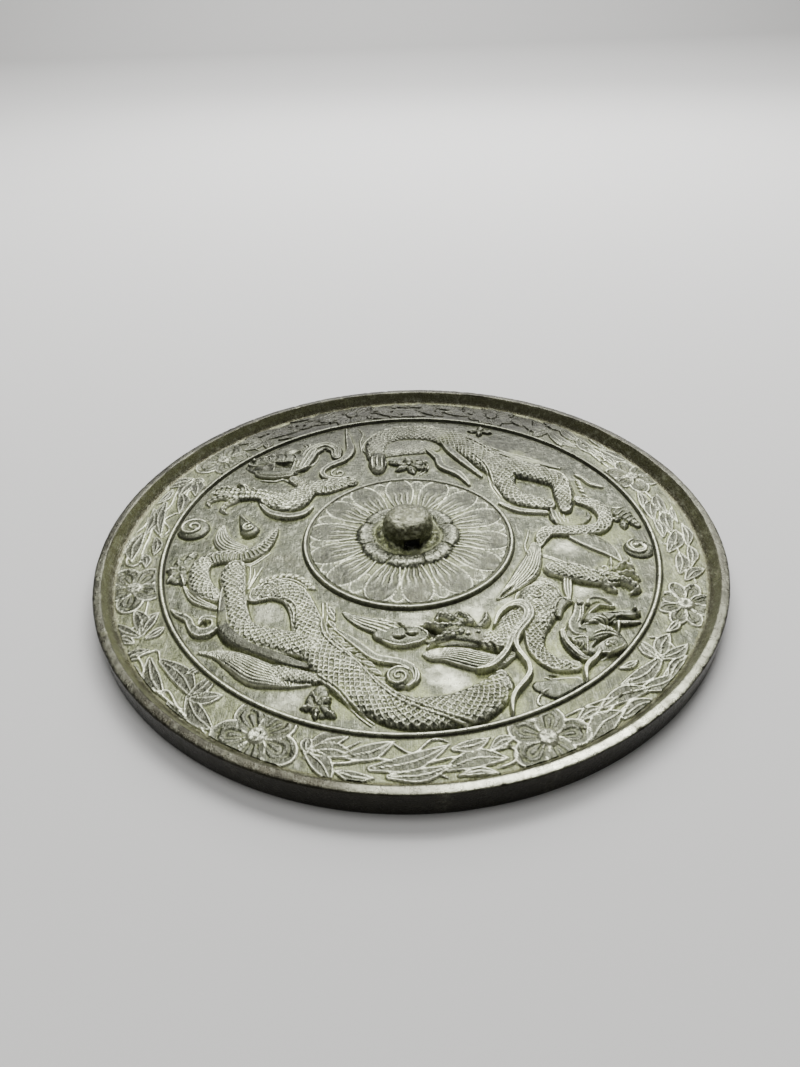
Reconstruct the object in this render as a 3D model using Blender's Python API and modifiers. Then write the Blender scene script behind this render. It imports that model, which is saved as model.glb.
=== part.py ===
"""Cast bronze mirror, lying with its polished face down and its decorated back up.

One casting: a round plate with a raised rim, two thin ring ridges, a lotus medallion around a
pierced knob, a field with two long dragons among clouds, and a border of flowers and leaves.
Metres, +Z up; the origin is the centre of the underside. Routes and places of the relief are
in millimetres on the back, +X to the right and +Y away, and are turned to metres by MM.
"""
import math

import bmesh
import bpy
from mathutils import Matrix, Vector

MM = 0.001
NAME = "ancient_bronze_mirror"

# Driving sizes of the plate, in millimetres.
DISC_RADIUS = 120.0
RIM_TOP = 9.4
RIM_WIDTH = 4.3
RIM_SLOPE = 2.2
LOTUS_GROUND = 4.6
FIELD_GROUND = 3.7
BORDER_GROUND = 4.2
LOTUS_RING = 41.3
FIELD_RING = 96.6
RING_TOP = 5.3
EDGE_SOFTENING = 0.6
PLATE_STEPS = 64

# The knob and its cord hole, in millimetres.
KNOB_RADIUS = 10.0
KNOB_TOP = 16.4
KNOB_STEPS = 32
HOLE_WIDTH = 6.0
HOLE_TOP = 10.2
HOLE_OFFSET = 1.2

# Lotus petals.
OUTER_PETALS = 14
OUTER_PETAL_TURN = 95.0
INNER_PETALS = 8
INNER_PETAL_TURN = 310.0

# How far a form's middle is sunk below the ground, so that its widest line is buried.
SINK = 0.12
# Distance between the cross-sections of a swept form, and the bevel of its round section:
# 2 gives eight sides for bodies and limbs, 1 gives six for small forms. A form whose half
# width stays under SMALL_FORM is small, and one under THIN_FORM bends in shorter steps.
SECTION_STEP = 6.5
THIN_STEP = 4.0
BODY_BEVEL = 2
SMALL_BEVEL = 1
SMALL_FORM = 3.5
THIN_FORM = 2.1
# Corners this close are one, and faces within this angle, in degrees, are one flat.
JOIN_CORNERS = 0.03
FLAT_WITHIN = 2.0
# Edges at least this steep, in degrees, are shaded sharp.
SHARP_FROM = 18.0


def clear_scene():
    for item in list(bpy.data.objects):
        bpy.data.objects.remove(item, do_unlink=True)


def make_collection(name):
    group = bpy.data.collections.new(name)
    bpy.context.scene.collection.children.link(group)
    return group


def dark_bronze():
    """Old bronze: an olive grey-green skin, rubbed to a dull shine."""
    bronze = bpy.data.materials.new("dark_bronze")
    bronze.use_nodes = True
    shader = bronze.node_tree.nodes["Principled BSDF"]
    shader.inputs["Base Color"].default_value = (0.16, 0.165, 0.12, 1.0)
    shader.inputs["Metallic"].default_value = 0.75
    shader.inputs["Roughness"].default_value = 0.45
    return bronze


def turned(name, outline, steps, group):
    """A turned solid: the outline runs from the axis on top, down the outside, to the axis below."""
    mesh = bpy.data.meshes.new(name)
    line = bmesh.new()
    points = [line.verts.new((radius * MM, 0.0, height * MM)) for radius, height in outline]
    for start, end in zip(points, points[1:]):
        line.edges.new((start, end))
    line.to_mesh(mesh)
    line.free()
    solid = bpy.data.objects.new(name, mesh)
    group.objects.link(solid)
    screw = solid.modifiers.new("turn", "SCREW")
    screw.axis = "Z"
    screw.angle = math.tau
    screw.steps = steps
    screw.render_steps = steps
    screw.use_merge_vertices = True
    screw.merge_threshold = 0.00001
    return solid


def plate_outline():
    """The section of the plate with its two ring ridges and its raised rim."""
    rim_in = DISC_RADIUS - RIM_WIDTH
    return [
        (0.0, LOTUS_GROUND),
        (LOTUS_RING - 1.1, LOTUS_GROUND),
        (LOTUS_RING - 0.5, RING_TOP),
        (LOTUS_RING + 0.4, RING_TOP),
        (LOTUS_RING + 1.1, FIELD_GROUND),
        (FIELD_RING - 1.5, FIELD_GROUND),
        (FIELD_RING - 0.7, RING_TOP),
        (FIELD_RING + 0.6, RING_TOP),
        (FIELD_RING + 1.5, BORDER_GROUND),
        (rim_in - RIM_SLOPE, BORDER_GROUND),
        (rim_in, RIM_TOP),
        (DISC_RADIUS - EDGE_SOFTENING, RIM_TOP),
        (DISC_RADIUS, RIM_TOP - EDGE_SOFTENING),
        (DISC_RADIUS, EDGE_SOFTENING),
        (DISC_RADIUS - EDGE_SOFTENING, 0.0),
        (0.0, 0.0),
    ]


def knob_outline():
    """A squat dome with a flattened top, drawn in a little at its foot."""
    foot = LOTUS_GROUND - 1.0
    return [
        (0.0, KNOB_TOP),
        (KNOB_RADIUS * 0.45, KNOB_TOP - 0.25),
        (KNOB_RADIUS * 0.74, KNOB_TOP - 1.3),
        (KNOB_RADIUS * 0.93, KNOB_TOP - 3.3),
        (KNOB_RADIUS, KNOB_TOP - 6.2),
        (KNOB_RADIUS * 0.96, LOTUS_GROUND + 1.6),
        (KNOB_RADIUS * 0.90, foot),
        (0.0, foot),
    ]


def smooth_route(route, step):
    """Points (x, y, half width) about one step apart on a smooth curve through the route."""
    ends = [route[0]] + list(route) + [route[-1]]
    fine = []
    for before, start, end, after in zip(ends, ends[1:], ends[2:], ends[3:]):
        length = math.dist(start[:2], end[:2])
        count = max(1, round(length / step))
        for number in range(count):
            t = number / count
            fine.append(tuple(
                0.5 * (2 * b + (c - a) * t + (2 * a - 5 * b + 4 * c - d) * t ** 2
                       + (3 * b - a - 3 * c + d) * t ** 3)
                for a, b, c, d in zip(before, start, end, after)))
    fine.append(tuple(route[-1]))
    return fine


def low_form(name, route, rise, ground, group, step=None):
    """A swept mound of rounded section: a body, leg, claw, tuft, ribbon, leaf or petal.

    The route holds (x, y, half width). The tube along it is round, and is then pressed flat
    so that its widest place stands as high as the given rise over the ground.
    """
    widest = max(half for _, _, half in route)
    if step is None:
        step = THIN_STEP if widest < THIN_FORM else SECTION_STEP
    curve = bpy.data.curves.new(name, "CURVE")
    curve.dimensions = "3D"
    curve.bevel_depth = 1.0
    curve.bevel_resolution = SMALL_BEVEL if widest < SMALL_FORM else BODY_BEVEL
    curve.use_fill_caps = True
    curve.twist_mode = "Z_UP"
    points = smooth_route(route, step)
    spline = curve.splines.new("POLY")
    spline.points.add(len(points) - 1)
    for point, (x, y, half) in zip(spline.points, points):
        point.co = (x * MM, y * MM, 0.0, 1.0)
        point.radius = max(half, 0.3) * MM
    tube = bpy.data.objects.new(name + "_line", curve)
    group.objects.link(tube)
    bpy.context.view_layer.update()
    seen = tube.evaluated_get(bpy.context.evaluated_depsgraph_get())
    mesh = bpy.data.meshes.new_from_object(seen)
    place = tube.matrix_world.copy()
    bpy.data.objects.remove(tube, do_unlink=True)
    return finish_form(name, mesh, place, rise / widest, ground, group)


def finish_form(name, mesh, place, flatness, ground, group):
    """Presses a round form flat, sets it on the ground and closes its caps."""
    form = bmesh.new()
    form.from_mesh(mesh)
    bmesh.ops.remove_doubles(form, verts=form.verts[:], dist=0.00001)
    level = Matrix.Translation((0.0, 0.0, (ground - SINK) * MM))
    bmesh.ops.transform(form, matrix=level @ Matrix.Scale(flatness, 4, (0, 0, 1)), verts=form.verts[:])
    bmesh.ops.recalc_face_normals(form, faces=form.faces[:])
    form.to_mesh(mesh)
    form.free()
    solid = bpy.data.objects.new(name, mesh)
    solid.matrix_world = place
    group.objects.link(solid)
    return solid


def dome(name, x, y, radius, rise, ground, group, sides=10):
    """A low round boss: a bead, a flower's eye, a pearl or a curled cloud."""
    mesh = bpy.data.meshes.new(name)
    ball = bmesh.new()
    bmesh.ops.create_uvsphere(ball, u_segments=sides, v_segments=6, radius=radius * MM)
    ball.to_mesh(mesh)
    ball.free()
    place = Matrix.Translation((x * MM, y * MM, 0.0))
    return finish_form(name, mesh, place, rise / radius, ground, group)


def polar(radius, degrees):
    angle = math.radians(degrees)
    return radius * math.cos(angle), radius * math.sin(angle)


# The dragons: (rise, route) with (x, y, half width) along the middle of each form.
NEAR_DRAGON = {
    "trunk": (2.6, [(35, -69, 3.5), (31, -78, 6.3), (21, -85.5, 7), (8, -88, 6.5), (-5, -87.5, 6.5),
                    (-17, -79, 7.2), (-26, -68.5, 7.6), (-33, -58, 7.6), (-37, -49, 5.8),
                    (-39.5, -41, 4.8), (-45, -33, 4.8), (-52, -31, 4.6), (-58, -35, 4)]),
    "hip": (3.1, [(-34, -60, 5), (-43, -57, 5.6), (-52, -54, 4.6), (-59, -49.5, 4.5), (-62, -42, 4.2),
                  (-64, -33, 4.2), (-67, -24, 4.3), (-70, -18.5, 3)]),
    "tail": (2.4, [(-71, -32, 3), (-77, -27.5, 4.4), (-81.5, -20, 4), (-81, -12, 3.6),
                   (-74, -8.5, 3.6), (-65, -9, 3.8), (-58.5, -5, 3.2), (-55, 2, 2), (-53.5, 7, 0.8)]),
    "tail_flame": (1.6, [(-72, -4, 5), (-74, 2, 3.4), (-73.5, 11, 0.7)]),
    "heel_flame": (1.4, [(-83, -27, 0.8), (-77, -34, 1.8), (-70.5, -37.5, 0.8)]),
    "knee_tuft": (1.6, [(-61.5, -14, 1), (-59.5, -21, 1.8), (-61.5, -29, 0.6)]),
    "hind_thigh": (2.2, [(-30, -73, 2.5), (-38, -73.5, 3.2), (-46, -72, 3.4)]),
    "hind_tuft": (2.4, [(-44, -72.5, 3.6), (-52, -70.5, 5), (-60, -65, 3.4), (-71, -60.5, 0.7)]),
    "hind_paw": (2.2, [(-34, -82, 2.5), (-29, -84, 4), (-26, -88, 2)]),
    "shoulder": (2.8, [(50, -34.5, 4), (46.5, -41, 7.5), (44, -49, 5.6), (41.3, -57, 3.7),
                       (41, -64.5, 3.1), (45.5, -70.4, 3.1), (52, -71.5, 2.4)]),
    "fore_arm": (2.9, [(36.5, -45, 3.6), (34, -53, 5.6), (29, -61, 5), (21, -58.5, 4), (12, -57, 4.6)]),
    "fore_tuft": (2.5, [(31, -67, 2.6), (23.5, -69, 3.7), (16, -66.5, 3.4), (4, -64.5, 0.8)]),
    "arm_ribbon": (2.2, [(26.5, -56, 0.8), (30.5, -48, 1.3), (36, -43.5, 1.6), (40.5, -47, 1.5),
                         (38.5, -56, 1.4), (33, -66, 1.3), (26, -73, 0.8)]),
    "long_ribbon": (1.8, [(35, -62, 0.8), (35, -69, 1), (37.2, -76, 1.1), (32, -84, 1), (29.3, -90, 0.6)]),
    "far_arm": (3.0, [(52.5, -25, 4), (60, -27, 4.6), (68, -30, 4), (76, -29.5, 4.6)]),
    "arm_tuft": (1.8, [(49.5, -17.5, 3.6), (45, -26, 3.6), (39, -32.5, 2.2), (31.5, -38, 0.6)]),
    "skull": (3.3, [(54, -55, 3), (60, -56, 5), (67, -58, 4.6), (70, -63, 2.4)]),
    "snout": (3.4, [(63, -51.5, 3.6), (71, -50.5, 3), (78, -49.5, 1.8)]),
    "jaw": (2.8, [(57, -64.5, 2.4), (63, -63, 3.8), (69, -65.5, 2)]),
    "horn": (2.6, [(57.5, -44.5, 1.6), (55.5, -51, 2.2), (54, -57, 2.4)]),
    "mane": (2.6, [(60, -48, 1.8), (66, -43.5, 3), (70.5, -44.5, 1.6)]),
    "cheek_ribbon": (1.8, [(52, -56, 1), (51.5, -62.5, 1.6), (54, -68, 1.6), (58, -70.5, 0.8)]),
    "whisker": (1.4, [(62, -65, 0.6), (60, -69, 0.8), (56, -73, 0.8), (54.5, -78, 0.5)]),
}
FAR_DRAGON = {
    "trunk": (2.6, [(-13, 62, 4.5), (-12, 74, 6), (-4, 81, 7), (8, 81.5, 7), (20, 77.5, 7.6),
                    (30, 68, 8), (37, 57, 7.8), (43, 45, 6.4), (43.8, 34, 4.8), (48, 24, 4.8),
                    (59, 18.5, 4)]),
    "hip": (3.1, [(40, 53, 6), (50, 46.5, 6.4), (60, 41, 6), (67, 34, 4.6), (67, 23, 4.2), (66, 14, 2.6)]),
    "tail": (2.4, [(73, 20, 2.6), (79, 15, 3.5), (80.5, 7.5, 3.2), (76.5, 0, 3.2), (66, -1, 3),
                   (57, 0, 3.1), (53, -4, 2.8), (51.5, -8.5, 1.2)]),
    "tail_flame": (1.6, [(69, -4, 3), (75, -9, 4), (79, -15, 2.4), (80.5, -20, 0.6)]),
    "knee_tuft": (1.6, [(60.5, 15, 0.8), (60.5, 8, 1.8), (67, 4.5, 1.8), (74, 8, 0.8)]),
    "belly_line": (1.4, [(40, 20, 0.8), (47, 14.5, 1.3), (57.5, 12.3, 0.9)]),
    "back_fin": (1.6, [(39, 63, 0.7), (46.5, 59, 1.1), (53, 53, 1.1), (62, 49.5, 1), (70, 46, 0.7)]),
    "hind_paw": (2.2, [(33, 82.5, 1.6), (38, 84, 2.8), (42.5, 79, 1.4)]),
    "hind_foot": (2.2, [(84, 12, 2.4), (89, 8.5, 3.2), (93, 2, 1.6)]),
    "left_ribbon": (1.8, [(11, 66, 1), (16, 57, 1.9), (19, 49, 1.9), (25, 43, 1.9), (28, 35.5, 0.8)]),
    "right_ribbon": (1.8, [(13, 82, 0.8), (19.5, 71, 1.7), (25, 59, 1.7), (30, 49, 1.7), (36, 40, 0.8)]),
    "fore_paw": (2.6, [(-13.5, 64, 4), (-12.5, 57, 4.4), (-12, 50, 2.4)]),
    "side_paw": (2.4, [(2, 64, 2), (1, 57, 4.4), (7.5, 51.5, 2.4), (4, 46, 1.6)]),
    "shoulder": (2.6, [(-24, 41, 3.4), (-34, 39, 5), (-43, 36, 5.6), (-50, 26, 7.4), (-59, 28.5, 5)]),
    "fore_arm": (3.0, [(-56, 29, 5), (-65, 33.5, 4.2), (-74, 34, 4.6), (-82, 36.5, 2)]),
    "chest_edge": (1.8, [(-62, 26, 0.8), (-57, 18.5, 1.2), (-50, 15, 1.3), (-44, 16.5, 1.2), (-40.5, 22, 0.7)]),
    "neck": (2.6, [(-46.5, 41, 4.4), (-45, 49, 4), (-37.5, 57, 3.4), (-32, 65, 3.8), (-35, 74, 4),
                   (-41, 71, 4), (-44, 62, 3.8)]),
    "long_ribbon": (1.8, [(-27.5, 88, 0.6), (-26, 77, 1.4), (-25, 66, 2), (-30, 58.5, 1.6),
                          (-37, 52, 1.4), (-35, 46, 1.2), (-29.5, 44, 0.7)]),
    "skull": (3.3, [(-50, 64, 3.6), (-56, 61, 5), (-62, 58, 4), (-68.5, 57, 2)]),
    "jaw": (2.8, [(-52, 47.5, 3.2), (-59, 46.5, 2.8), (-66, 48, 1.4)]),
    "horn": (2.6, [(-52, 66, 2), (-50.5, 72, 2), (-46.5, 77, 1)]),
    "ear": (2.6, [(-49, 52, 2), (-47.5, 60, 2.8), (-48, 69, 1.2)]),
}
CLOUDS = {
    "scroll_cloud": (1.9, [(-85, -39, 0.7), (-79.5, -42.8, 1.7), (-77.5, -48, 1.8), (-73, -51, 1.9),
                           (-69.3, -47.5, 1.8), (-72.5, -43, 1.6)]),
    "wish_cloud": (1.9, [(-24, -44, 0.7), (-17, -49, 2.6), (-9, -52.5, 3.8), (-3, -57, 5), (3, -57, 2.6)]),
    "cloud_tail": (1.5, [(-27, -51, 0.8), (-20, -58, 1.5), (-13.5, -65, 1.5), (-4, -68.5, 1.4), (0, -73, 0.8)]),
    "drop_cloud": (2.0, [(-69.5, 18, 0.7), (-66.5, 13, 2.2), (-64.5, 7.5, 3.6)]),
    "squiggle": (1.4, [(75.5, 40.5, 0.6), (79, 36, 1), (81, 31.5, 1), (85, 30, 0.6)]),
}
# Claws: foot centre, reach, half width, and the directions of its toes in degrees.
FEET = [
    (-86.5, -16.5, 7.0, 1.9, (85, 140, 175, 225)),
    (-29.5, -84.5, 5.0, 1.5, (150, 250, 320)),
    (12.5, -55.5, 8.5, 1.8, (60, 100, 155, 215)),
    (76.5, -28.0, 8.5, 2.0, (250, 295, 40, 75, 110)),
    (-76.5, 33.5, 8.5, 1.9, (95, 150, 230, 268)),
    (89.0, 8.0, 8.0, 1.5, (40, 250, 290)),
    (37.5, 81.5, 5.5, 1.4, (200, 300, 340)),
    (-12.5, 57.0, 8.5, 1.7, (235, 262, 290)),
    (2.0, 55.5, 8.0, 1.8, (205, 250, 305)),
]
# Round curls and beads: x, y, radius, rise.
CURLS = [
    (-5.0, -74.5, 5.0, 1.8),
    (89.0, -12.5, 5.6, 1.9),
    (-88.0, 10.0, 6.6, 2.2),
    (46.5, -40.5, 8.5, 2.5),
]

# The border: eight flowers, and the sprays of leaves that fill the gap after each of them.
FLOWER_RADIUS = 106.3
FLOWER_TURNS = (-117.0, -69.0, -25.0, 20.4, 65.0, 104.0, 143.0, 194.0)
FLOWER_PETALS = (5, 5, 8, 5, 8, 5, 5, 5)
PETAL_REACH = 4.9
PETAL_RISE = 1.0
FLOWER_STRETCH = 1.3
# A leaf: share of the gap, radius, direction against the ring's own, length, half width.
LEAVES = [
    (0.27, 109.0, 10, 14.0, 2.5),
    (0.37, 101.8, -18, 13.0, 2.3),
    (0.51, 106.4, 28, 15.0, 2.7),
    (0.63, 101.6, 6, 13.0, 2.2),
    (0.73, 108.6, -16, 13.0, 2.5),
]
LEAF_RISE = 0.8


def carve_dragons(group):
    for side, dragon in (("near", NEAR_DRAGON), ("far", FAR_DRAGON)):
        for part, (rise, route) in dragon.items():
            low_form(f"{side}_{part}", route, rise, FIELD_GROUND, group)
    for part, (rise, route) in CLOUDS.items():
        low_form(part, route, rise, FIELD_GROUND, group)


def carve_feet(group):
    for number, (x, y, reach, half, turns) in enumerate(FEET, start=1):
        for toe, turn in enumerate(turns, start=1):
            away_x, away_y = polar(1.0, turn)
            route = [(x + away_x * reach * share, y + away_y * reach * share, half * wide)
                     for share, wide in ((0.25, 0.8), (0.6, 1.0), (1.0, 0.3))]
            low_form(f"claw_{number}_{toe}", route, 2.4, FIELD_GROUND, group)


def carve_curls(group):
    for number, (x, y, radius, rise) in enumerate(CURLS, start=1):
        dome(f"curl_{number}", x, y, radius, rise, FIELD_GROUND, group, sides=14)


def carve_lotus(group):
    for number in range(OUTER_PETALS):
        turn = OUTER_PETAL_TURN + number * 360.0 / OUTER_PETALS
        route = [(*polar(radius, turn), half)
                 for radius, half in ((20.0, 3.4), (26.5, 5.6), (32.5, 6.4), (36.2, 4.8), (38.3, 1.6))]
        low_form(f"outer_petal_{number + 1}", route, 0.8, LOTUS_GROUND, group, step=6.5)
    for number in range(INNER_PETALS):
        turn = INNER_PETAL_TURN + number * 360.0 / INNER_PETALS
        route = [(*polar(radius, turn), half)
                 for radius, half in ((14.6, 4.6), (17.6, 6.9), (19.8, 6.4), (21.4, 3.8))]
        low_form(f"inner_petal_{number + 1}", route, 1.7, LOTUS_GROUND, group, step=3.0)


def carve_border(group):
    gaps = zip(FLOWER_TURNS, FLOWER_TURNS[1:] + (FLOWER_TURNS[0] + 360.0,), FLOWER_PETALS)
    for number, (turn, next_turn, petals) in enumerate(gaps, start=1):
        eye_x, eye_y = polar(FLOWER_RADIUS, turn)
        dome(f"eye_{number}", eye_x, eye_y, 2.6, 1.1, BORDER_GROUND, group, sides=8)
        along_x, along_y = polar(FLOWER_STRETCH, turn + 90.0)
        away_x, away_y = polar(1.0, turn)
        wide = 15.0 / petals
        for petal in range(petals):
            along, away = polar(PETAL_REACH, petal * 360.0 / petals)
            out_x = along * along_x + away * away_x
            out_y = along * along_y + away * away_y
            route = [(eye_x + out_x * share, eye_y + out_y * share, wide * full)
                     for share, full in ((0.55, 0.6), (1.0, 1.0), (1.3, 0.6))]
            low_form(f"petal_{number}_{petal + 1}", route, PETAL_RISE, BORDER_GROUND, group)
        for leaf, (share, radius, lean, length, half) in enumerate(LEAVES, start=1):
            at = turn + (next_turn - turn) * share
            mid_x, mid_y = polar(radius, at)
            run_x, run_y = polar(0.5 * length, at + 90.0 + lean)
            route = [(mid_x + run_x * along, mid_y + run_y * along, half * wide)
                     for along, wide in ((-1.0, 0.2), (-0.1, 1.0), (1.0, 0.2))]
            low_form(f"leaf_{number}_{leaf}", route, LEAF_RISE, BORDER_GROUND, group, step=7.0)


def cord_hole(group):
    """The tunnel under the knob: straight sides and a round roof, front to back."""
    half = 0.5 * HOLE_WIDTH * MM
    spring = (HOLE_TOP - 0.5 * HOLE_WIDTH) * MM
    floor = (LOTUS_GROUND + 0.05) * MM
    reach = (KNOB_RADIUS + 1.5) * MM
    mesh = bpy.data.meshes.new("cord_hole")
    tunnel = bmesh.new()
    arc = [(half * math.cos(math.pi * n / 8), spring + half * math.sin(math.pi * n / 8)) for n in range(9)]
    section = [(half, floor)] + arc + [(-half, floor)]
    ring = [tunnel.verts.new((x + HOLE_OFFSET * MM, -reach, z)) for x, z in section]
    face = tunnel.faces.new(ring)
    pushed = bmesh.ops.extrude_face_region(tunnel, geom=[face])
    moved = [item for item in pushed["geom"] if isinstance(item, bmesh.types.BMVert)]
    bmesh.ops.translate(tunnel, vec=Vector((0.0, 2.0 * reach, 0.0)), verts=moved)
    bmesh.ops.recalc_face_normals(tunnel, faces=tunnel.faces[:])
    tunnel.to_mesh(mesh)
    tunnel.free()
    hole = bpy.data.objects.new("cord_hole", mesh)
    group.objects.link(hole)
    return hole


def boolean(target, name, operation, operand=None, group=None):
    """The forms cross in hundreds of places, where the exact solver leaves open seams."""
    step = target.modifiers.new(name, "BOOLEAN")
    step.solver = "MANIFOLD"
    step.operation = operation
    if group is None:
        step.object = operand
    else:
        step.operand_type = "COLLECTION"
        step.collection = group


def close_up(target):
    """Joins corners that fall together, and lets each flat or nearly flat patch be one face."""
    weld = target.modifiers.new("join_corners", "WELD")
    weld.merge_threshold = JOIN_CORNERS * MM
    flatten = target.modifiers.new("one_face_per_flat", "DECIMATE")
    flatten.decimate_type = "DISSOLVE"
    flatten.angle_limit = math.radians(FLAT_WITHIN)


def keep_shape(target):
    """Makes the joined form the object's own mesh, smooth on its round faces only."""
    seen = target.evaluated_get(bpy.context.evaluated_depsgraph_get())
    mesh = bpy.data.meshes.new_from_object(seen)
    target.modifiers.clear()
    target.data = mesh
    mesh.name = target.name
    mesh.shade_smooth()
    mesh.set_sharp_from_angle(angle=math.radians(SHARP_FROM))


def main():
    clear_scene()
    parts = make_collection(NAME)
    carving = make_collection("carving")
    cutters = make_collection("cutters")

    mirror = turned("mirror", plate_outline(), PLATE_STEPS, parts)
    mirror.data.materials.append(dark_bronze())

    carve_lotus(carving)
    carve_dragons(carving)
    carve_feet(carving)
    carve_curls(carving)
    carve_border(carving)
    knob = turned("knob", knob_outline(), KNOB_STEPS, cutters)
    hole = cord_hole(cutters)

    boolean(mirror, "add_carving", "UNION", group=carving)
    boolean(mirror, "add_knob", "UNION", operand=knob)
    boolean(mirror, "cut_cord_hole", "DIFFERENCE", operand=hole)
    close_up(mirror)
    keep_shape(mirror)
    for helper in list(carving.objects) + list(cutters.objects):
        helper.hide_render = True
        helper.display_type = "WIRE"


main()
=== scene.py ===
"""An old cast bronze mirror, lying face down so that its carved back shows.

One casting, built here as the plate with its rim, the flower border, four rings of the dragon
field, the lotus medallion and the pierced knob. Places and heights of the relief are in
millimetres: x to the right, y away, z up from the polished face.
"""
import math
from functools import partial

import bmesh
import bpy
import numpy as np
from mathutils import Matrix, Vector


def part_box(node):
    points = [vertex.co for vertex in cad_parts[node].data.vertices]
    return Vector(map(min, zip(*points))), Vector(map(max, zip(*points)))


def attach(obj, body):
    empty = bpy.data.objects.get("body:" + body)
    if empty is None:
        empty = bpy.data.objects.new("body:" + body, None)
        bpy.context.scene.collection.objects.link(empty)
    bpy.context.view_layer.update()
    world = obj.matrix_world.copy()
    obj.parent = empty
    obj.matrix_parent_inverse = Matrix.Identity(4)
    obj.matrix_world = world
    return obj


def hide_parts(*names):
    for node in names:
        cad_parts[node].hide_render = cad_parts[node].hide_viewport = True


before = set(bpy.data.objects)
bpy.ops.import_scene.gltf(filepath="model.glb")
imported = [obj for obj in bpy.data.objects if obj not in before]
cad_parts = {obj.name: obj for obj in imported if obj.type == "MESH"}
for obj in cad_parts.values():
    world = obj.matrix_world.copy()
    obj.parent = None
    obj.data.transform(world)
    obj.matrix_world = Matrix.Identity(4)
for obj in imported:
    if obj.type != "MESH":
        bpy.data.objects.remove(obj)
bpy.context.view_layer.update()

# The plate: a thick disc with a raised rim, cast in one with everything on its back.
# High-tin bronze, filed round on the outside; its rim is rubbed, nicked and spotted with age.
MM = 0.001
low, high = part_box("mirror")
DISC_RADIUS = (high[0] - low[0]) / 2 / MM
RIM_TOP = 9.4
RIM_INSIDE = DISC_RADIUS - 3.3
RIM_FOOT = DISC_RADIUS - 7.4
BORDER_GROUND = 4.2
LOTUS_GROUND = 4.6
UNDER_RELIEF = 2.4
TOP_ROUNDING = 0.7
FOOT_ROUNDING = 0.6
# The rim's hollow inner slope: its share of the way out and of the way up, from the foot.
INNER_SLOPE = ((0, 0), (0.14, 0.03), (0.28, 0.10), (0.42, 0.22), (0.56, 0.38), (0.7, 0.57), (0.82, 0.75),
               (0.92, 0.9), (1, 1))
WALL_HEIGHTS = (7.6, 6.4, 5.2, 4.0, 2.8, 1.6)
PLATE_STEPS = 900

OLIVE = (0.014, 0.016, 0.007, 1)
GREY_GREEN = (0.056, 0.061, 0.036, 1)
BROWN = (0.045, 0.037, 0.017, 1)
PALE_EDGE = (0.78, 0.80, 0.60, 1)
PALE_DIRT = (0.41, 0.45, 0.19, 1)
BLACK_BROWN = (0.008, 0.007, 0.003, 1)


def grain(x, y, cell, seed):
    """Smooth uneven heights between -1 and 1, about one hump to a cell."""
    column, row = np.floor(x / cell).astype(np.int64), np.floor(y / cell).astype(np.int64)
    u, v = x / cell - column, y / cell - row
    u, v = u * u * (3 - 2 * u), v * v * (3 - 2 * v)

    def hump(a, b):
        """The height at one corner of a cell: scattered, but the same each time."""
        mixed = (a * 374761393 + b * 668265263 + seed * 362437) & 0xFFFFFFFF
        mixed = ((mixed ^ (mixed >> 13)) * 1274126177) & 0xFFFFFFFF
        return ((mixed ^ (mixed >> 16)) & 0xFFFF) / 32767.5 - 1

    near_row = hump(column, row) * (1 - u) + hump(column + 1, row) * u
    far_row = hump(column, row + 1) * (1 - u) + hump(column + 1, row + 1) * u
    return near_row * (1 - v) + far_row * v


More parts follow.
